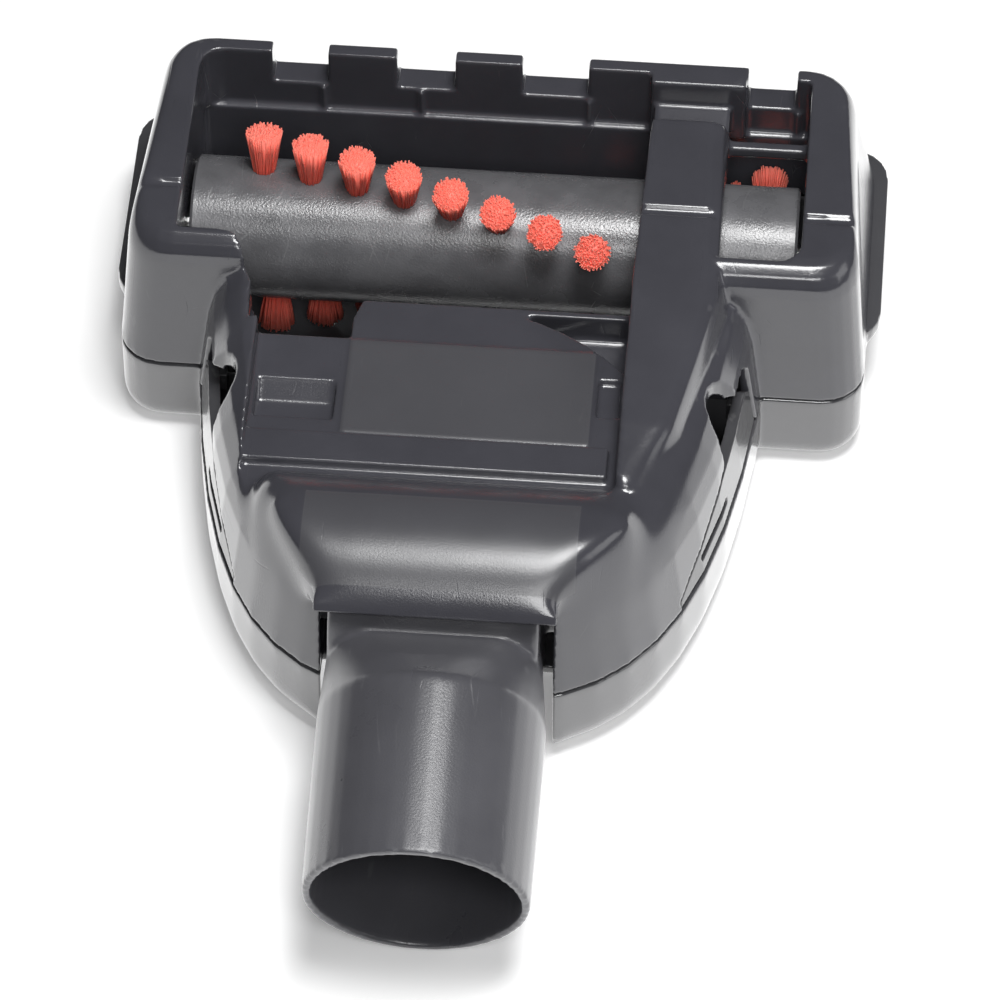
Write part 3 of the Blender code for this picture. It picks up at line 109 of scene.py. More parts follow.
# a flat outline pushed along an axis from low to high
def prism(name, outline, low, high, axis):
    def at(a, b, c):
        return {"X": (c, a, b), "Z": (a, b, c)}[axis]

    piece = meshPiece(name, [at(a, b, low) for a, b in outline], [], [tuple(range(len(outline)))])
    bpy.ops.object.mode_set(mode="EDIT")
    bpy.ops.mesh.select_all(action="SELECT")
    bpy.ops.mesh.extrude_region_move(TRANSFORM_OT_translate={"value": at(0.0, 0.0, high - low)})
    bpy.ops.mesh.select_all(action="SELECT")
    bpy.ops.mesh.normals_make_consistent(inside=False)
    bpy.ops.object.mode_set(mode="OBJECT")
    return piece


# turns a profile about X through a point and closes what is left open
def spinClosed(centre, turn, steps):
    bpy.ops.object.mode_set(mode="EDIT")
    bpy.ops.mesh.select_all(action="SELECT")
    bpy.ops.mesh.spin(steps=steps, angle=turn, center=centre, axis=(1.0, 0.0, 0.0))
    bpy.ops.mesh.select_all(action="SELECT")
    bpy.ops.mesh.remove_doubles(threshold=spinMerge)
    bpy.ops.mesh.select_non_manifold()
    bpy.ops.mesh.edge_face_add()
    bpy.ops.mesh.select_all(action="SELECT")
    bpy.ops.mesh.normals_make_consistent(inside=False)
    bpy.ops.object.mode_set(mode="OBJECT")


def joinInto(piece, extras):
    bpy.ops.object.select_all(action="DESELECT")
    for extra in extras:
        extra.select_set(True)
    piece.select_set(True)
    bpy.context.view_layer.objects.active = piece
    bpy.ops.object.join()


def combine(piece, tool, operation):
    finishWith(piece, "BOOLEAN", object=tool, operation=operation, solver="EXACT")
    bpy.data.objects.remove(tool, do_unlink=True)


def paint(piece, material):
    piece.data.materials.clear()
    piece.data.materials.append(material)


def triangles(piece):
    piece.data.calc_loop_triangles()
    return len(piece.data.loop_triangles)


# 0 up to low, 1 from high on, and a smooth rise between them
def ramp(value, low, high):
    t = min(max((value - low) / (high - low), 0.0), 1.0)
    return t * t * (3 - 2 * t)


# how far a point lies outside a box, whose side is open where it says None
def outside(spot, low, high):
    gap = 0.0
    for value, a, b in zip(spot, low, high):
        if a is not None:
            gap = max(gap, a - value)
        if b is not None:
            gap = max(gap, value - b)
    return gap


# fades an amount to 0 at the boxes whose edges stay sharp
def awayFrom(spot, boxes, amount):
    for box in boxes:
        x = abs(spot.x - box["mirror"]) if "mirror" in box else spot.x
        amount *= ramp(outside((x, spot.y, spot.z), box["low"], box["high"]), *box["fade"])
    return amount


# extra smoothing where softness(spot) is above zero, in a dozen steps of strength
def roundEdges(piece, softness, iterations, steps=12):
    levels = {}
    for vertex in piece.data.vertices:
        levels.setdefault(round(softness(vertex.co) * steps), []).append(vertex.index)
    group = piece.vertex_groups.new(name="soft")
    for level, members in levels.items():
        if level:
            group.add(members, level / steps, "REPLACE")
    finishWith(piece, "SMOOTH", factor=0.5, iterations=iterations, vertex_group="soft")
    piece.vertex_groups.clear()


# gives a copy of a CAD piece the soft edges of a moulding
def moulded(node, body, material, settings, extras=(), cuts=(), softness=()):
    piece = cadCopy(node, node + "_moulded")
    for tool in cuts:
        combine(piece, tool, "DIFFERENCE")
    if extras:
        joinInto(piece, extras)
    coarse = 1  # doubled voxels need a quarter of the rounds to smooth as far
    finishWith(piece, "REMESH", mode="VOXEL", voxel_size=settings["voxel"] * coarse, adaptivity=0.0)
    finishWith(piece, "SMOOTH", factor=0.5, iterations=math.ceil(settings["smoothing"] / coarse ** 2))
    for area, iterations in softness:
        roundEdges(piece, area, iterations // coarse ** 2)
    count = triangles(piece)
    if count > settings["triangles"]:
        finishWith(piece, "DECIMATE", ratio=settings["triangles"] / count)
    pickOnly(piece)
    bpy.ops.object.shade_smooth()
    paint(piece, material)
    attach(piece, body)
    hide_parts(node)
    print("moulded", node, triangles(piece), "triangles")
    return piece


# nodes of the materials

def addNode(tree, kind, inputs=None, **settings):
    made = tree.nodes.new(kind)
    for name, value in settings.items():
        setattr(made, name, value)
    for name, value in (inputs or {}).items():
        if isinstance(value, bpy.types.NodeSocket):
            tree.links.new(value, made.inputs[name])
        else:
            made.inputs[name].default_value = value
    return made


def mathNode(tree, operation, first, second):
    return addNode(tree, "ShaderNodeMath", {0: first, 1: second}, operation=operation).outputs[0]


def times(tree, first, second):
    return mathNode(tree, "MULTIPLY", first, second)


def vectorNode(tree, operation, *values):
    return addNode(tree, "ShaderNodeVectorMath", dict(enumerate(values)), operation=operation).outputs


def spread(tree, value, low, high, toLow=0.0, toHigh=1.0):
    limits = {"From Min": low, "From Max": high, "To Min": toLow, "To Max": toHigh}
    return addNode(tree, "ShaderNodeMapRange", {"Value": value} | limits).outputs[0]


def noise(tree, place, scale, detail, roughness=0.5):
    inputs = {"Vector": place, "Scale": scale, "Detail": detail, "Roughness": roughness}
    return addNode(tree, "ShaderNodeTexNoise", inputs).outputs


def mixColour(tree, amount, first, second):
    inputs = {0: amount, 6: first, 7: second}  # the factor, and A and B of the colours
    return addNode(tree, "ShaderNodeMix", inputs, data_type="RGBA").outputs[2]


def bumpInto(tree, shader, height, strength, distance):
    bump = addNode(tree, "ShaderNodeBump", {"Height": height, "Strength": strength, "Distance": distance})
    tree.links.new(bump.outputs["Normal"], shader.inputs["Normal"])


def newGroup(name, inputs, outputs):
    group = bpy.data.node_groups.new(name, "ShaderNodeTree")
    for label, kind, value in inputs:
        socket = group.interface.new_socket(label, in_out="INPUT", socket_type=kind)
        if value is not None:
            socket.default_value = value
    for label in outputs:
        group.interface.new_socket(label, in_out="OUTPUT", socket_type="NodeSocketFloat")
    return group, group.nodes.new("NodeGroupInput"), group.nodes.new("NodeGroupOutput")


def useGroup(tree, group, inputs):
    return addNode(tree, "ShaderNodeGroup", inputs, node_tree=group).outputs


# fine hairline scratches in a few directions, broken up into patches
def scratchGroup(settings):
    group, start, end = newGroup("hairline_scratches",
                                 [("Vector", "NodeSocketVector", None), ("Scale", "NodeSocketFloat", 140.0),
                                  ("Cover", "NodeSocketFloat", 0.5)], ["Mask"])
    place, scale, cover = start.outputs[:3]
    warp = noise(group, place, settings["warpScale"], 1.0)["Color"]
    shifted = vectorNode(group, "MULTIPLY_ADD", warp, (settings["warp"],) * 3, place)[0]
    low = mathNode(group, "SUBTRACT", settings["patchHigh"], times(group, cover, settings["patchWide"]))
    masks = []
    for turn in settings["turns"]:
        turned = addNode(group, "ShaderNodeMapping", {"Vector": shifted, "Rotation": settings["tilt"] + (turn,),
                                                      "Scale": settings["stretch"]})
        cells = addNode(group, "ShaderNodeTexVoronoi", {"Vector": turned.outputs[0], "Scale": scale},
                        feature="DISTANCE_TO_EDGE")
        line = spread(group, cells.outputs["Distance"], 0.0, settings["lineWidth"], 1.0, 0.0)
        patches = noise(group, place, settings["patchScale"] + settings["patchStep"] * turn, 3.0)["Fac"]
        masks.append(times(group, line, spread(group, patches, low, settings["patchHigh"])))
    both = mathNode(group, "MAXIMUM", masks[0], masks[1])
    group.links.new(mathNode(group, "MAXIMUM", both, masks[2]), end.inputs["Mask"])
    return group


# the fine texture of a mould, with slow cloudy changes over it
def grainGroup(settings):
    group, start, end = newGroup("mould_grain",
                                 [("Vector", "NodeSocketVector", None), ("Fine", "NodeSocketFloat", 2500.0),
                                  ("Broad", "NodeSocketFloat", 45.0)], ["Height", "Cloud"])
    place, fine, broad = start.outputs[:3]
    speckle = noise(group, place, fine, 2.0, settings["rough"])["Fac"]
    cloud = noise(group, place, broad, 5.0, settings["rough"])["Fac"]
    group.links.new(speckle, end.inputs["Height"])
    group.links.new(spread(group, cloud, *settings["cloud"]), end.inputs["Cloud"])
    return group


scratches = scratchGroup({"warpScale": 60.0, "warp": 0.0006, "turns": (0.5, 1.35, 2.6), "tilt": (0.2, 0.1),
                          "stretch": (1.0, 0.045, 0.4), "lineWidth": 0.012, "patchScale": 70.0,
                          "patchStep": 25.0, "patchHigh": 0.8, "patchWide": 0.4})
grain = grainGroup({"rough": 0.6, "cloud": (0.3, 0.7)})


def newMaterial(name):
    material = bpy.data.materials.new(name)
    material.use_nodes = True
    tree = material.node_tree
    shader = tree.nodes["Principled BSDF"]
    place = addNode(tree, "ShaderNodeTexCoord").outputs["Object"]
    return material, tree, shader, place


# one inside a box and zero outside it, with a soft edge
def fieldMask(tree, place, low, high, edge=(-0.0002, 0.0001)):
    middle = [(a + b) / 2 for a, b in zip(low, high)]
    half = [(b - a) / 2 for a, b in zip(low, high)]
    away = vectorNode(tree, "ABSOLUTE", vectorNode(tree, "SUBTRACT", place, middle)[0])[0]
    beyond = vectorNode(tree, "SUBTRACT", away, half)[0]
    parts = addNode(tree, "ShaderNodeSeparateXYZ", {0: beyond}).outputs
    farthest = mathNode(tree, "MAXIMUM", mathNode(tree, "MAXIMUM", parts[0], parts[1]), parts[2])
    return spread(tree, farthest, *edge, 1.0, 0.0)


# moulded plastic with grain, cloudy sheen, hairline scratches and paler worn edges
def plastic(name, settings):
    material, tree, shader, place = newMaterial(name)
    texture = useGroup(tree, grain, {"Vector": place, "Fine": settings["grainScale"],
                                     "Broad": settings["cloudScale"]})
    lines = useGroup(tree, scratches, {"Vector": place, "Scale": settings["scratchScale"],
                                       "Cover": settings["scratchCover"]})["Mask"]
    pointed = addNode(tree, "ShaderNodeNewGeometry").outputs["Pointiness"]
    worn = times(tree, spread(tree, pointed, *settings["edge"]), settings["edgeShow"])
    colour = mixColour(tree, texture["Cloud"], settings["dark"], settings["light"])
    colour = mixColour(tree, times(tree, lines, settings["scratchShow"]), colour, settings["scratched"])
    colour = mixColour(tree, worn, colour, settings["scratched"])
    rough = spread(tree, texture["Cloud"], 0.0, 1.0, *settings["gloss"])
    rough = mathNode(tree, "ADD", rough, times(tree, lines, settings["scratchRough"]))
    for low, high in settings.get("fields", ()):  # bare etched fields
        etched = fieldMask(tree, place, low, high)
        rough = mathNode(tree, "ADD", rough, times(tree, etched, settings["fieldRough"]))
        colour = mixColour(tree, times(tree, etched, settings["fieldTint"]), colour, settings["fieldColour"])
    tree.links.new(colour, shader.inputs["Base Color"])
    tree.links.new(rough, shader.inputs["Roughness"])
    height = mathNode(tree, "SUBTRACT", times(tree, texture["Height"], settings["grainDeep"]),
                      times(tree, lines, settings["scratchDeep"]))
    bumpInto(tree, shader, height, *settings["bump"])
    shader.inputs["IOR"].default_value = settings["ior"]
    return material


# ground or sintered metal: rings of turning marks and slight stains
def metal(name, settings):
    material, tree, shader, place = newMaterial(name)
    texture = useGroup(tree, grain, {"Vector": place, "Fine": settings["grainScale"],
                                     "Broad": settings["stainScale"]})
    stretched = addNode(tree, "ShaderNodeMapping", {"Vector": place, "Scale": settings["marks"]})
    rings = noise(tree, stretched.outputs[0], settings["markScale"], 4.0)["Fac"]
    colour = mixColour(tree, texture["Cloud"], settings["dark"], settings["light"])
    tree.links.new(colour, shader.inputs["Base Color"])
    shader.inputs["Metallic"].default_value = 1.0
    tree.links.new(spread(tree, rings, 0.3, 0.7, *settings["gloss"]), shader.inputs["Roughness"])
    height = mathNode(tree, "ADD", rings, times(tree, texture["Height"], settings["grainDeep"]))
    bumpInto(tree, shader, height, *settings["bump"])
    return material


# belt rubber: fine cross ribs, and dust in patches
def rubber(name, settings):
    material, tree, shader, place = newMaterial(name)
    texture = useGroup(tree, grain, {"Vector": place, "Fine": settings["grainScale"],
                                     "Broad": settings["dustScale"]})
    ribs = addNode(tree, "ShaderNodeTexWave",
                   {"Vector": place, "Scale": settings["ribScale"], "Distortion": settings["ribWander"]},
                   wave_type="BANDS", bands_direction="Y").outputs["Fac"]
    colour = mixColour(tree, texture["Cloud"], settings["dark"], settings["dusty"])
    tree.links.new(colour, shader.inputs["Base Color"])
    tree.links.new(spread(tree, texture["Cloud"], 0.0, 1.0, *settings["gloss"]), shader.inputs["Roughness"])
    height = mathNode(tree, "ADD", ribs, times(tree, texture["Height"], settings["grainDeep"]))
    bumpInto(tree, shader, height, *settings["bump"])
    return material


# coral filaments: painted shade makes them deeper in colour in the bundle and at the root, and painted light
# makes them paler towards the tips
def bristleMaterial(name, settings):
    material, tree, shader, place = newMaterial(name)
    outward = vectorNode(tree, "SUBTRACT", place, brushAxis)[0]
    across = vectorNode(tree, "MULTIPLY", outward, (0.0, 1.0, 1.0))[0]
    reach = vectorNode(tree, "LENGTH", across)["Value"]
    strands = noise(tree, place, settings["strandScale"], 2.0)["Fac"]
    # painted shade at the root, fading out to painted light at the tips
    colour = mixColour(tree, spread(tree, reach, settings["root"], settings["tip"]),
                       settings["shadedRootColour"], settings["litTipColour"])
    varied = spread(tree, strands, 0.35, 0.65, 0.0, settings["shadeShow"])
    tree.links.new(mixColour(tree, varied, colour, settings["shade"]), shader.inputs["Base Color"])
    tree.links.new(spread(tree, strands, 0.3, 0.7, *settings["gloss"]), shader.inputs["Roughness"])
    shader.inputs["Subsurface Weight"].default_value = settings["glow"]
    shader.inputs["Subsurface Radius"].default_value = settings["glowDepth"]
    shader.inputs["Subsurface Scale"].default_value = 1.0
    return material


def grey(value, blue=1.0):
    return (value, value, value * blue, 1.0)


plasticStart = {"grainScale": 2500.0, "cloudScale": 45.0, "grainDeep": 0.25, "scratchScale": 140.0,
                "scratchCover": 0.45, "scratchShow": 0.35, "scratchRough": 0.25, "scratchDeep": 0.8,
                "edge": (0.52, 0.60), "edgeShow": 0.25, "bump": (0.6, 0.0001), "ior": 1.52}
shellPlastic = plastic("shellPlastic", plasticStart | {
    "dark": grey(0.047, 1.18), "light": grey(0.058, 1.18), "scratched": grey(0.13, 1.05), "gloss": (0.15, 0.21),
    "ior": 1.6, "fieldRough": 0.13, "fieldTint": 0.6, "fieldColour": grey(0.075, 1.08),
    "fields": (((-0.0237, -0.0565, 0.030), (0.0198, -0.0350, 0.040)),
               ((-0.0275, -0.0940, 0.0385), (0.0200, -0.0760, 0.048)))})
# the cover's grey is made paler than the shell's as a painted reflection of the pale floor on its sides
coverPlastic = plastic("coverPlastic", plasticStart | {
    "dark": grey(0.062, 1.08), "light": grey(0.074, 1.08), "scratched": grey(0.15, 1.05), "gloss": (0.10, 0.16),
    "scratchCover": 0.3, "ior": 1.8})
neckPlastic = plastic("neckPlastic", plasticStart | {
    "dark": grey(0.070, 1.12), "light": grey(0.085, 1.12), "scratched": grey(0.17, 1.05), "gloss": (0.26, 0.34),
    "grainDeep": 0.4})
latchPlastic = plastic("latchPlastic", plasticStart | {
    "dark": grey(0.050, 1.08), "light": grey(0.060, 1.08), "scratched": grey(0.14), "gloss": (0.14, 0.22),
    "ior": 1.6})
rollerPlastic = plastic("rollerPlastic", plasticStart | {
    "dark": grey(0.050, 1.12), "light": grey(0.115, 1.08), "scratched": grey(0.30), "gloss": (0.18, 0.34),
    "ior": 1.65, "cloudScale": 90.0, "scratchCover": 0.6, "scratchShow": 0.3, "scratchScale": 120.0,
    "scratchDeep": 0.25, "grainDeep": 0.9})
blackPlastic = plastic("blackPlastic", plasticStart | {
    "dark": grey(0.026), "light": grey(0.036), "scratched": grey(0.1), "gloss": (0.35, 0.5)})
turbinePlastic = plastic("turbinePlastic", plasticStart | {
    "dark": (0.50, 0.50, 0.47, 1.0), "light": (0.58, 0.58, 0.56, 1.0), "scratched": grey(0.4),
    "gloss": (0.35, 0.5)})
metalStart = {"stainScale": 120.0, "markScale": 60.0, "grainDeep": 0.4, "bump": (0.4, 0.00008)}
steelMetal = metal("steelMetal", metalStart | {
    "dark": grey(0.5), "light": grey(0.65), "gloss": (0.2, 0.38), "marks": (40.0, 1.0, 1.0), "grainScale": 900.0})
bronzeMetal = metal("bronzeMetal", metalStart | {
    "dark": (0.42, 0.28, 0.13, 1.0), "light": (0.58, 0.41, 0.2, 1.0), "gloss": (0.35, 0.55),
    "marks": (6.0, 6.0, 6.0), "grainScale": 1500.0})
beltRubber = rubber("beltRubber", {
    "dark": grey(0.016), "dusty": grey(0.045), "gloss": (0.65, 0.85), "grainScale": 1800.0, "grainDeep": 0.3,
    "dustScale": 150.0, "ribScale": 160.0, "ribWander": 0.4, "bump": (0.5, 0.0002)})
# the root and tip colours are painted shade in the bundle and painted light on the tips
coralBristle = bristleMaterial("coralBristle", {
    "root": 0.0126, "tip": 0.0205, "shadedRootColour": (0.90, 0.105, 0.070, 1.0), "litTipColour": (1.0, 0.24, 0.18, 1.0),
    "shade": (0.94, 0.14, 0.095, 1.0), "shadeShow": 0.45, "strandScale": 1400.0, "gloss": (0.45, 0.65),
    "glow": 0.15, "glowDepth": (0.002, 0.0008, 0.0006)})
print("materials made")


# where the edges of shells and neck are rounded, and the boxes that keep theirs sharp

latchMiddle = -0.0016  # the latches lie evenly on both sides of this x
lowerRounds = {
    "seam": (0.0180, 0.0215), "front": (-0.040, -0.028), "frontLess": 0.5,
    "guardX": (0.022, 0.026), "guardY": (-0.066, -0.056), "guardLess": 0.8,
    "sharp": (
        {"low": (-0.0238, None, None), "high": (0.0165, -0.0925, 0.0372), "fade": (0.0008, 0.0035)},  # slot
        {"low": (0.030, -0.0770, None), "high": (None, -0.0300, 0.0345), "fade": (0.0004, 0.0030),
         "mirror": latchMiddle},  # latches
        {"low": (0.030, -0.0530, None), "high": (None, -0.0390, 0.0400), "fade": (0.0004, 0.0030),
         "mirror": latchMiddle},  # their scoops
        {"low": (-0.0402, -0.0668, 0.0340), "high": (0.0250, -0.0180, None), "fade": (0.0006, 0.0040)},  # plate
        {"low": (-0.0575, -0.0245, None), "high": (0.0560, None, None), "fade": (0.0012, 0.0040)})}  # mouth
hoodRounds = {
    "start": -0.068, "length": 0.006, "rise": (0.0310, 0.0360), "middle": -0.0036, "sides": (0.0130, 0.0190),
    "sharp": (
        {"low": (-0.0238, None, None), "high": (0.0165, -0.0925, 0.0372), "fade": (0.0010, 0.0040)},
        {"low": (-0.0402, -0.0668, 0.0340), "high": (0.0250, -0.0180, None), "fade": (0.0010, 0.0060)})}
upperRounds = {
    "seam": 0.0162, "fall": (0.0008, 0.0035), "front": (-0.036, -0.028), "frontLess": 0.85,
    "sharp": (
        {"low": (-0.0238, None, None), "high": (0.0165, -0.0770, None), "fade": (0.0010, 0.0035)},
        {"low": (0.030, -0.0770, 0.0150), "high": (None, -0.0300, None), "fade": (0.0004, 0.0030),
         "mirror": latchMiddle})}
neckRounds = {"mouth": (-0.146, -0.141), "drum": -0.082, "length": 0.006, "most": 0.5}


# the hood, the tail, the flanks and, less, the front and the slope of the belt guard
def lowerSoftness(spot):
    amount = awayFrom(spot, lowerRounds["sharp"], ramp(spot.z, *lowerRounds["seam"]))
    front = 1.0 - lowerRounds["frontLess"] * ramp(spot.y, *lowerRounds["front"])
    guard = lowerRounds["guardLess"] * ramp(spot.x, *lowerRounds["guardX"]) * ramp(spot.y, *lowerRounds["guardY"])
    return amount * front * (1.0 - guard)


# the corners of the hood, rounded further still
def hoodSoftness(spot):
    back = ramp(hoodRounds["start"] - spot.y, 0.0, hoodRounds["length"])
    amount = awayFrom(spot, hoodRounds["sharp"], back * ramp(spot.z, *hoodRounds["rise"]))
    return amount * ramp(abs(spot.x - hoodRounds["middle"]), *hoodRounds["sides"])


def upperSoftness(spot):
    amount = awayFrom(spot, upperRounds["sharp"], ramp(upperRounds["seam"] - spot.z, *upperRounds["fall"]))
    return amount * (1.0 - upperRounds["frontLess"] * ramp(spot.y, *upperRounds["front"]))


def neckSoftness(spot):
    behindDrum = ramp(neckRounds["drum"] - spot.y, 0.0, neckRounds["length"])
    return ramp(spot.y, *neckRounds["mouth"]) * behindDrum * neckRounds["most"]


# shells, neck and latches

# the straight rear lip of the hood, turned about the neck's axis
def hoodLip(settings):
    inner, outer = settings["radii"]
    left, right = settings["x"]
    start, end = [math.radians(angle) for angle in settings["angles"]]
    corners = [(x, neckAxis.y - r * math.cos(start), neckAxis.z + r * math.sin(start))
               for x, r in ((left, inner), (left, outer), (right, outer), (right, inner))]
    piece = meshPiece("hood_lip", corners, [], [(0, 1, 2, 3)])
    spinClosed(neckAxis, end - start, settings["steps"])
    return piece


# fills the rear corners of the hood up to its round, beside the slot
def hoodCorners(settings):
    corners = []
    for name, outline in settings["outlines"].items():
        corner = prism(name, outline, *settings["z"], "Z")
        bpy.ops.mesh.primitive_cylinder_add(vertices=settings["sides"], radius=settings["radius"],
                                            depth=settings["long"], location=neckAxis,
                                            rotation=(0.0, math.pi / 2, 0.0))
        drum = bpy.context.object
        bpy.ops.object.transform_apply(location=True, rotation=True, scale=True)
        combine(corner, drum, "INTERSECT")
        corners.append(corner)
    return corners


def frontRibs(settings):
    half = settings["wide"] / 2
    (back, front), (low, high) = settings["y"], settings["z"]
    return [blockBetween(f"front_rib_{i}", (x - half, back, low), (x + half, front, high))
            for i, x in enumerate(settings["x"], 1)]


ribs = frontRibs({"x": (-0.0341, -0.0163, 0.0144, 0.0523), "wide": 0.0007, "y": (0.0243, 0.0256),
                  "z": (0.0322, 0.0378)})
hoodFill = hoodCorners({
    "radius": 0.0190, "sides": 160, "long": 0.12, "z": (0.0335, 0.050),
    "outlines": {
        "left_corner": ((-0.0236, -0.0780), (-0.0340, -0.0780), (-0.0325, -0.0820), (-0.0305, -0.0855),
                        (-0.0280, -0.0890), (-0.0258, -0.0920), (-0.0236, -0.0942)),
        "right_corner": ((0.0163, -0.0780), (0.0163, -0.0942), (0.0187, -0.0920), (0.0212, -0.0890),
                         (0.0240, -0.0855), (0.0265, -0.0820), (0.0295, -0.0780))}})
lip = hoodLip({"x": (-0.0245, 0.0172), "radii": (0.0170, 0.0190), "angles": (36.0, 80.0), "steps": 24})
notch = {"x": (-0.0418, -0.0237), "over": 0.001,  # room for the second row of tufts, with a sloping floor
         "cut": ((-0.0343, 0.0420), (-0.0343, 0.0350), (-0.0212, 0.0215), (-0.0205, 0.0215), (-0.0205, 0.0420)),
         "floor": ((-0.0358, 0.0352), (-0.0358, 0.0338), (-0.0222, 0.0200), (-0.0208, 0.0200),
                   (-0.0208, 0.0206), (-0.0344, 0.0345))}
notchLow, notchHigh = notch["x"]
notchCut = prism("notch_cut", notch["cut"], notchLow, notchHigh, "X")
notchFloor = prism("notch_floor", notch["floor"], notchLow - notch["over"], notchHigh + notch["over"], "X")
moulded("lower_shell", "shells", shellPlastic,
        {"voxel": 0.00038, "smoothing": 6, "triangles": 190000},
        ribs + hoodFill + [lip, notchFloor], [notchCut], ((lowerSoftness, 160), (hoodSoftness, 320)))
moulded("upper_shell", "shells", coverPlastic,
        {"voxel": 0.00042, "smoothing": 6, "triangles": 150000}, softness=((upperSoftness, 160),))
moulded("neck", "neck", neckPlastic,
        {"voxel": 0.00036, "smoothing": 8, "triangles": 120000}, softness=((neckSoftness, 80),))
for word in ("left", "right"):
    moulded(word + "_latch", word + "_latch", latchPlastic,
            {"voxel": 0.0002, "smoothing": 6, "triangles": 40000})


# the roller, turned by spinning its profile

def roller(settings):
    low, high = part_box("brush_core")
    radius, edge, bore, pulley = [settings[key] for key in ("radius", "edge", "bore", "pulley")]
    left, right = settings["groove"]
    profile = [(low.x, bore), (low.x, radius - edge), (low.x + edge, radius), (left - edge, radius),
               (left, radius - edge), (left, pulley), (right, pulley), (right, radius - edge),
               (right + edge, radius), (high.x - edge, radius), (high.x, radius - edge), (high.x, bore)]
    piece = meshPiece("roller", [(x, 0.0, brushAxis.z + r) for x, r in profile],
                      [(i, i + 1) for i in range(len(profile) - 1)], [])
    spinClosed(brushAxis, 2 * math.pi, settings["steps"])
    bpy.ops.object.shade_smooth_by_angle(angle=math.radians(settings["smoothBelow"]))
    paint(piece, rollerPlastic)
    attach(piece, "brush")
    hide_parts("brush_core")
    return piece


beltLow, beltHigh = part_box("drive_belt")
beltPlay = 0.0005  # beside the belt in its groove
roller({"radius": 0.0126, "pulley": 0.0103, "groove": (beltLow.x - beltPlay, beltHigh.x + beltPlay),
        "edge": 0.0005, "bore": 0.0028, "steps": 144, "smoothBelow": 30.0})
print("roller turned")


# bristle tufts, each a bundle of filaments inside its CAD cone

# the middles of a tuft's root and tip, and the points of its tip, read from its CAD cone
def tuftAxis(node):
    spots = [vertex.co for vertex in nodes[node].data.vertices]
    reach = [math.hypot(spot.y - brushAxis.y, spot.z - brushAxis.z) for spot in spots]
    middle = (min(reach) + max(reach)) / 2
    root = [spot for spot, far in zip(spots, reach) if far < middle]
    tip = [spot for spot, far in zip(spots, reach) if far >= middle]
    return sum(root, Vector()) / len(root), sum(tip, Vector()) / len(tip), tip


# one straight filament along Z, a little narrower at its tip
def filament(settings):
    bpy.ops.mesh.primitive_cone_add(vertices=settings["sides"], radius1=settings["thick"],
                                    radius2=settings["thick"] * settings["taper"], depth=1.0,
                                    location=(0.0, 0.0, 0.5), end_fill_type="TRIFAN")
    piece = bpy.context.object
    bpy.ops.object.transform_apply(location=True, rotation=True, scale=True)
    bpy.ops.object.mode_set(mode="EDIT")
    for cut in settings["cuts"]:
        bpy.ops.mesh.select_all(action="SELECT")
        bpy.ops.mesh.bisect(plane_co=(0.0, 0.0, cut), plane_no=(0.0, 0.0, 1.0))
    bpy.ops.object.mode_set(mode="OBJECT")
    return piece


# filaments along Z, spreading from the root's radius to the tip's, packed round a close core
def bundle(name, seed, count, root, tip, height, settings, single):
    draw = random.Random(seed)
    sides, (coreWide, coreTall) = settings["coreSides"], settings["core"]
    places = [(math.cos(2 * math.pi * k / sides) * r, math.sin(2 * math.pi * k / sides) * r, z)
              for r, z in ((root * coreWide, 0.0), (tip * coreWide, height * coreTall)) for k in range(sides)]
    faces = [(k, (k + 1) % sides, sides + (k + 1) % sides, sides + k) for k in range(sides)]
    faces += [tuple(reversed(range(sides))), tuple(range(sides, 2 * sides))]
    shape = [vertex.co.copy() for vertex in single.data.vertices]
    walls = [tuple(face.vertices) for face in single.data.polygons]
    for i in range(count):
        out = math.sqrt((i + 0.5) / count)
        turn = i * settings["goldenTurn"] + draw.uniform(-settings["turnStray"], settings["turnStray"])
        start = Vector((math.cos(turn), math.sin(turn), 0.0)) * out * root
        end = Vector((math.cos(turn), math.sin(turn), 0.0)) * out * tip
        end += Vector((draw.uniform(-1, 1), draw.uniform(-1, 1), 0.0)) * settings["stray"]
        end.length = min(end.length, tip)
        lean = Vector((draw.uniform(-1, 1), draw.uniform(-1, 1), 0.0)) * settings["bow"]
        tall = height * (1.0 - settings["crown"] * out * out - draw.uniform(0.0, settings["uneven"]))
        first = len(places)
        for spot in shape:
            centre = start.lerp(end, spot.z) + lean * math.sin(math.pi * spot.z)
            places.append((centre.x + spot.x, centre.y + spot.y, tall * spot.z))
        faces += [tuple(first + k for k in face) for face in walls]
    return meshPiece(name, places, [], faces)


def tuft(node, seed, settings, single):
    root, tip, ring = tuftAxis(node)
    direction = (tip - root).normalized()
    tipRadius = max((spot - tip).length for spot in ring)
    count, rootRadius = settings["narrowCount"], tipRadius
    if tipRadius > settings["narrowBelow"]:
        tipRadius *= settings["widen"]
        count, rootRadius = settings["count"], settings["root"]
    piece = bundle(node + "_filaments", seed, count, rootRadius - settings["thick"],
                   tipRadius - settings["thick"], (tip - root).length, settings, single)
    turn = direction.to_track_quat("Z", "X").to_matrix().to_4x4()
    piece.data.transform(Matrix.Translation(root) @ turn)
    bpy.ops.object.shade_smooth()
    paint(piece, coralBristle)
    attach(piece, "brush")
    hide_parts(node)
    return piece


tuftSettings = {"sides": 4, "thick": 0.00018, "taper": 0.8, "cuts": (0.35, 0.7), "count": 320,
                "narrowCount": 90, "narrowBelow": 0.002, "root": 0.0016, "widen": 1.09,
                "goldenTurn": 2.39996, "turnStray": 0.25, "stray": 0.00022, "bow": 0.00008,
                "crown": 0.02, "uneven": 0.03, "coreSides": 20, "core": (0.9, 0.94)}
oneFilament = filament(tuftSettings)
for number in range(1, 21):
    tuft(f"bristle_tuft_{number:02d}", number, tuftSettings, oneFilament)
bpy.data.objects.remove(oneFilament, do_unlink=True)
print("tufts made")


# CAD pieces that keep their shape

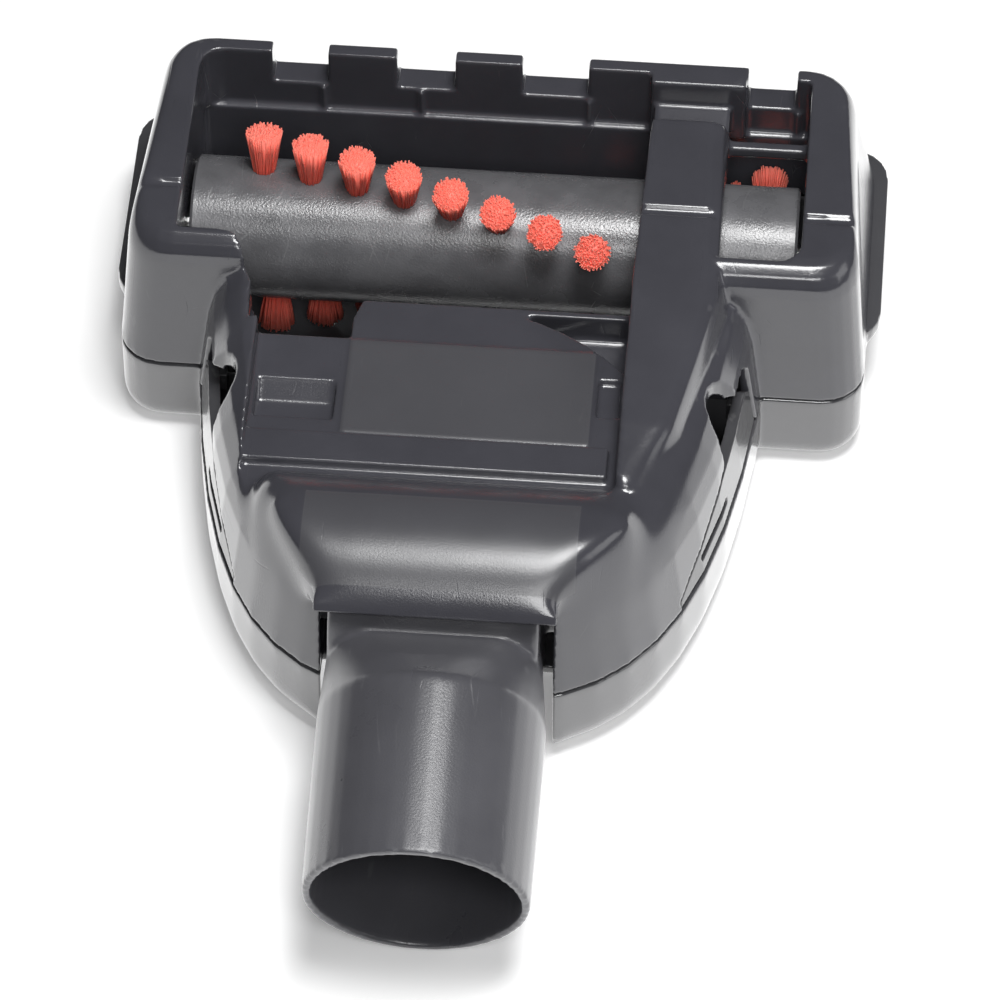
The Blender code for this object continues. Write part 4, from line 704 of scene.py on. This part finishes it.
kept = {
    "steelMetal": ("left_axle_pin", "right_axle_pin", "turbine_shaft", "clamp_screw_1", "clamp_screw_2",
                   "clamp_screw_3", "clamp_screw_4", "left_latch_pin", "right_latch_pin"),
    "bronzeMetal": ("left_axle_bush", "right_axle_bush", "left_turbine_bearing", "right_turbine_bearing"),
    "blackPlastic": ("left_end_block", "right_end_block", "left_bearing_clamp", "right_bearing_clamp"),
    "beltRubber": ("drive_belt",),
    "turbinePlastic": ("turbine_wheel", "turbine_pulley"),
}
for materialName, names in kept.items():
    for name in names:
        for slot in nodes[name].material_slots:
            slot.material = bpy.data.materials[materialName]
print("kept pieces painted")


# floor, light and camera

# lit as a surface, but the camera sees it fade to white away from the brush, and gloss mirrors it white
def floorMaterial(settings):
    material, tree, shader, place = newMaterial("paleFloor")
    shader.inputs["Base Color"].default_value = grey(settings["colour"])
    shader.inputs["Roughness"].default_value = settings["rough"]
    shader.inputs["Specular IOR Level"].default_value = 0.0
    shader.inputs["Emission Color"].default_value = grey(1.0)
    path = addNode(tree, "ShaderNodeLightPath").outputs
    away = vectorNode(tree, "LENGTH", place)["Value"]
    seen = times(tree, path["Is Camera Ray"], spread(tree, away, *settings["fade"], settings["glow"], 1.0))
    mirrored = times(tree, path["Is Glossy Ray"], settings["mirrorGlow"])
    tree.links.new(mathNode(tree, "MAXIMUM", seen, mirrored), shader.inputs["Emission Strength"])
    return material


def studioFloor(settings):
    bpy.ops.mesh.primitive_plane_add(size=settings["size"], location=(0.0, 0.0, -settings["drop"]))
    floor = bpy.context.object
    floor.name = "floor"
    paint(floor, floorMaterial(settings))


# white to the camera, dimmer in reflections and as the light that fills the shade
def studioWorld(settings):
    world = bpy.data.worlds.new("studio")
    bpy.context.scene.world = world
    world.use_nodes = True
    tree = world.node_tree
    path = addNode(tree, "ShaderNodeLightPath").outputs
    mirrored = spread(tree, path["Is Glossy Ray"], 0.0, 1.0, settings["ambient"], settings["ambientSeen"])
    strength = mathNode(tree, "MAXIMUM", mirrored, path["Is Camera Ray"])
    tree.links.new(strength, tree.nodes["Background"].inputs["Strength"])


def softBox(name, settings):
    data = bpy.data.lights.new(name, "AREA")
    data.shape = "RECTANGLE"
    data.size, data.size_y = settings["size"]
    data.energy = settings["watts"]
    made = bpy.data.objects.new(name, data)
    bpy.context.scene.collection.objects.link(made)
    made.location = settings["at"]
    towards = Vector(settings["aim"]) - Vector(settings["at"])
    made.rotation_euler = towards.to_track_quat("-Z", "Y").to_euler()


def camera(settings):
    high, turn = math.radians(settings["elevation"]), math.radians(settings["azimuth"])
    back = Vector((math.sin(turn) * math.cos(high), -math.cos(turn) * math.cos(high), math.sin(high)))
    data = bpy.data.cameras.new("camera")
    data.lens = settings["lens"]
    data.sensor_width = settings["sensor"]
    made = bpy.data.objects.new("camera", data)
    bpy.context.scene.collection.objects.link(made)
    made.location = Vector(settings["aim"]) + back * settings["distance"]
    made.rotation_euler = back.to_track_quat("Z", "Y").to_euler()
    bpy.context.scene.camera = made


studioFloor({"size": 6.0, "drop": 0.0003, "colour": 0.92, "rough": 0.6, "glow": 0.22, "fade": (0.15, 0.7),
             "mirrorGlow": 1.0})
studioWorld({"ambient": 0.36, "ambientSeen": 0.2})
softBox("overheadBox", {"at": (0.10, -0.10, 0.85), "aim": (0.0, -0.03, 0.02), "size": (0.34, 0.26), "watts": 6.4})
softBox("frontBox", {"at": (0.12, -0.62, 0.72), "aim": (0.0, -0.03, 0.02), "size": (0.30, 0.24), "watts": 2.4})
softBox("sideBox", {"at": (0.7, -0.2, 0.45), "aim": (0.0, -0.05, 0.02), "size": (0.4, 0.4), "watts": 1.0})
camera({"elevation": 50.0, "azimuth": 4.45, "distance": 1.2, "lens": 239.3, "sensor": 36.0,
        "aim": (0.00278, -0.0357, -0.00405)})
bpy.context.scene.view_settings.view_transform = "Standard"
print("studio ready")
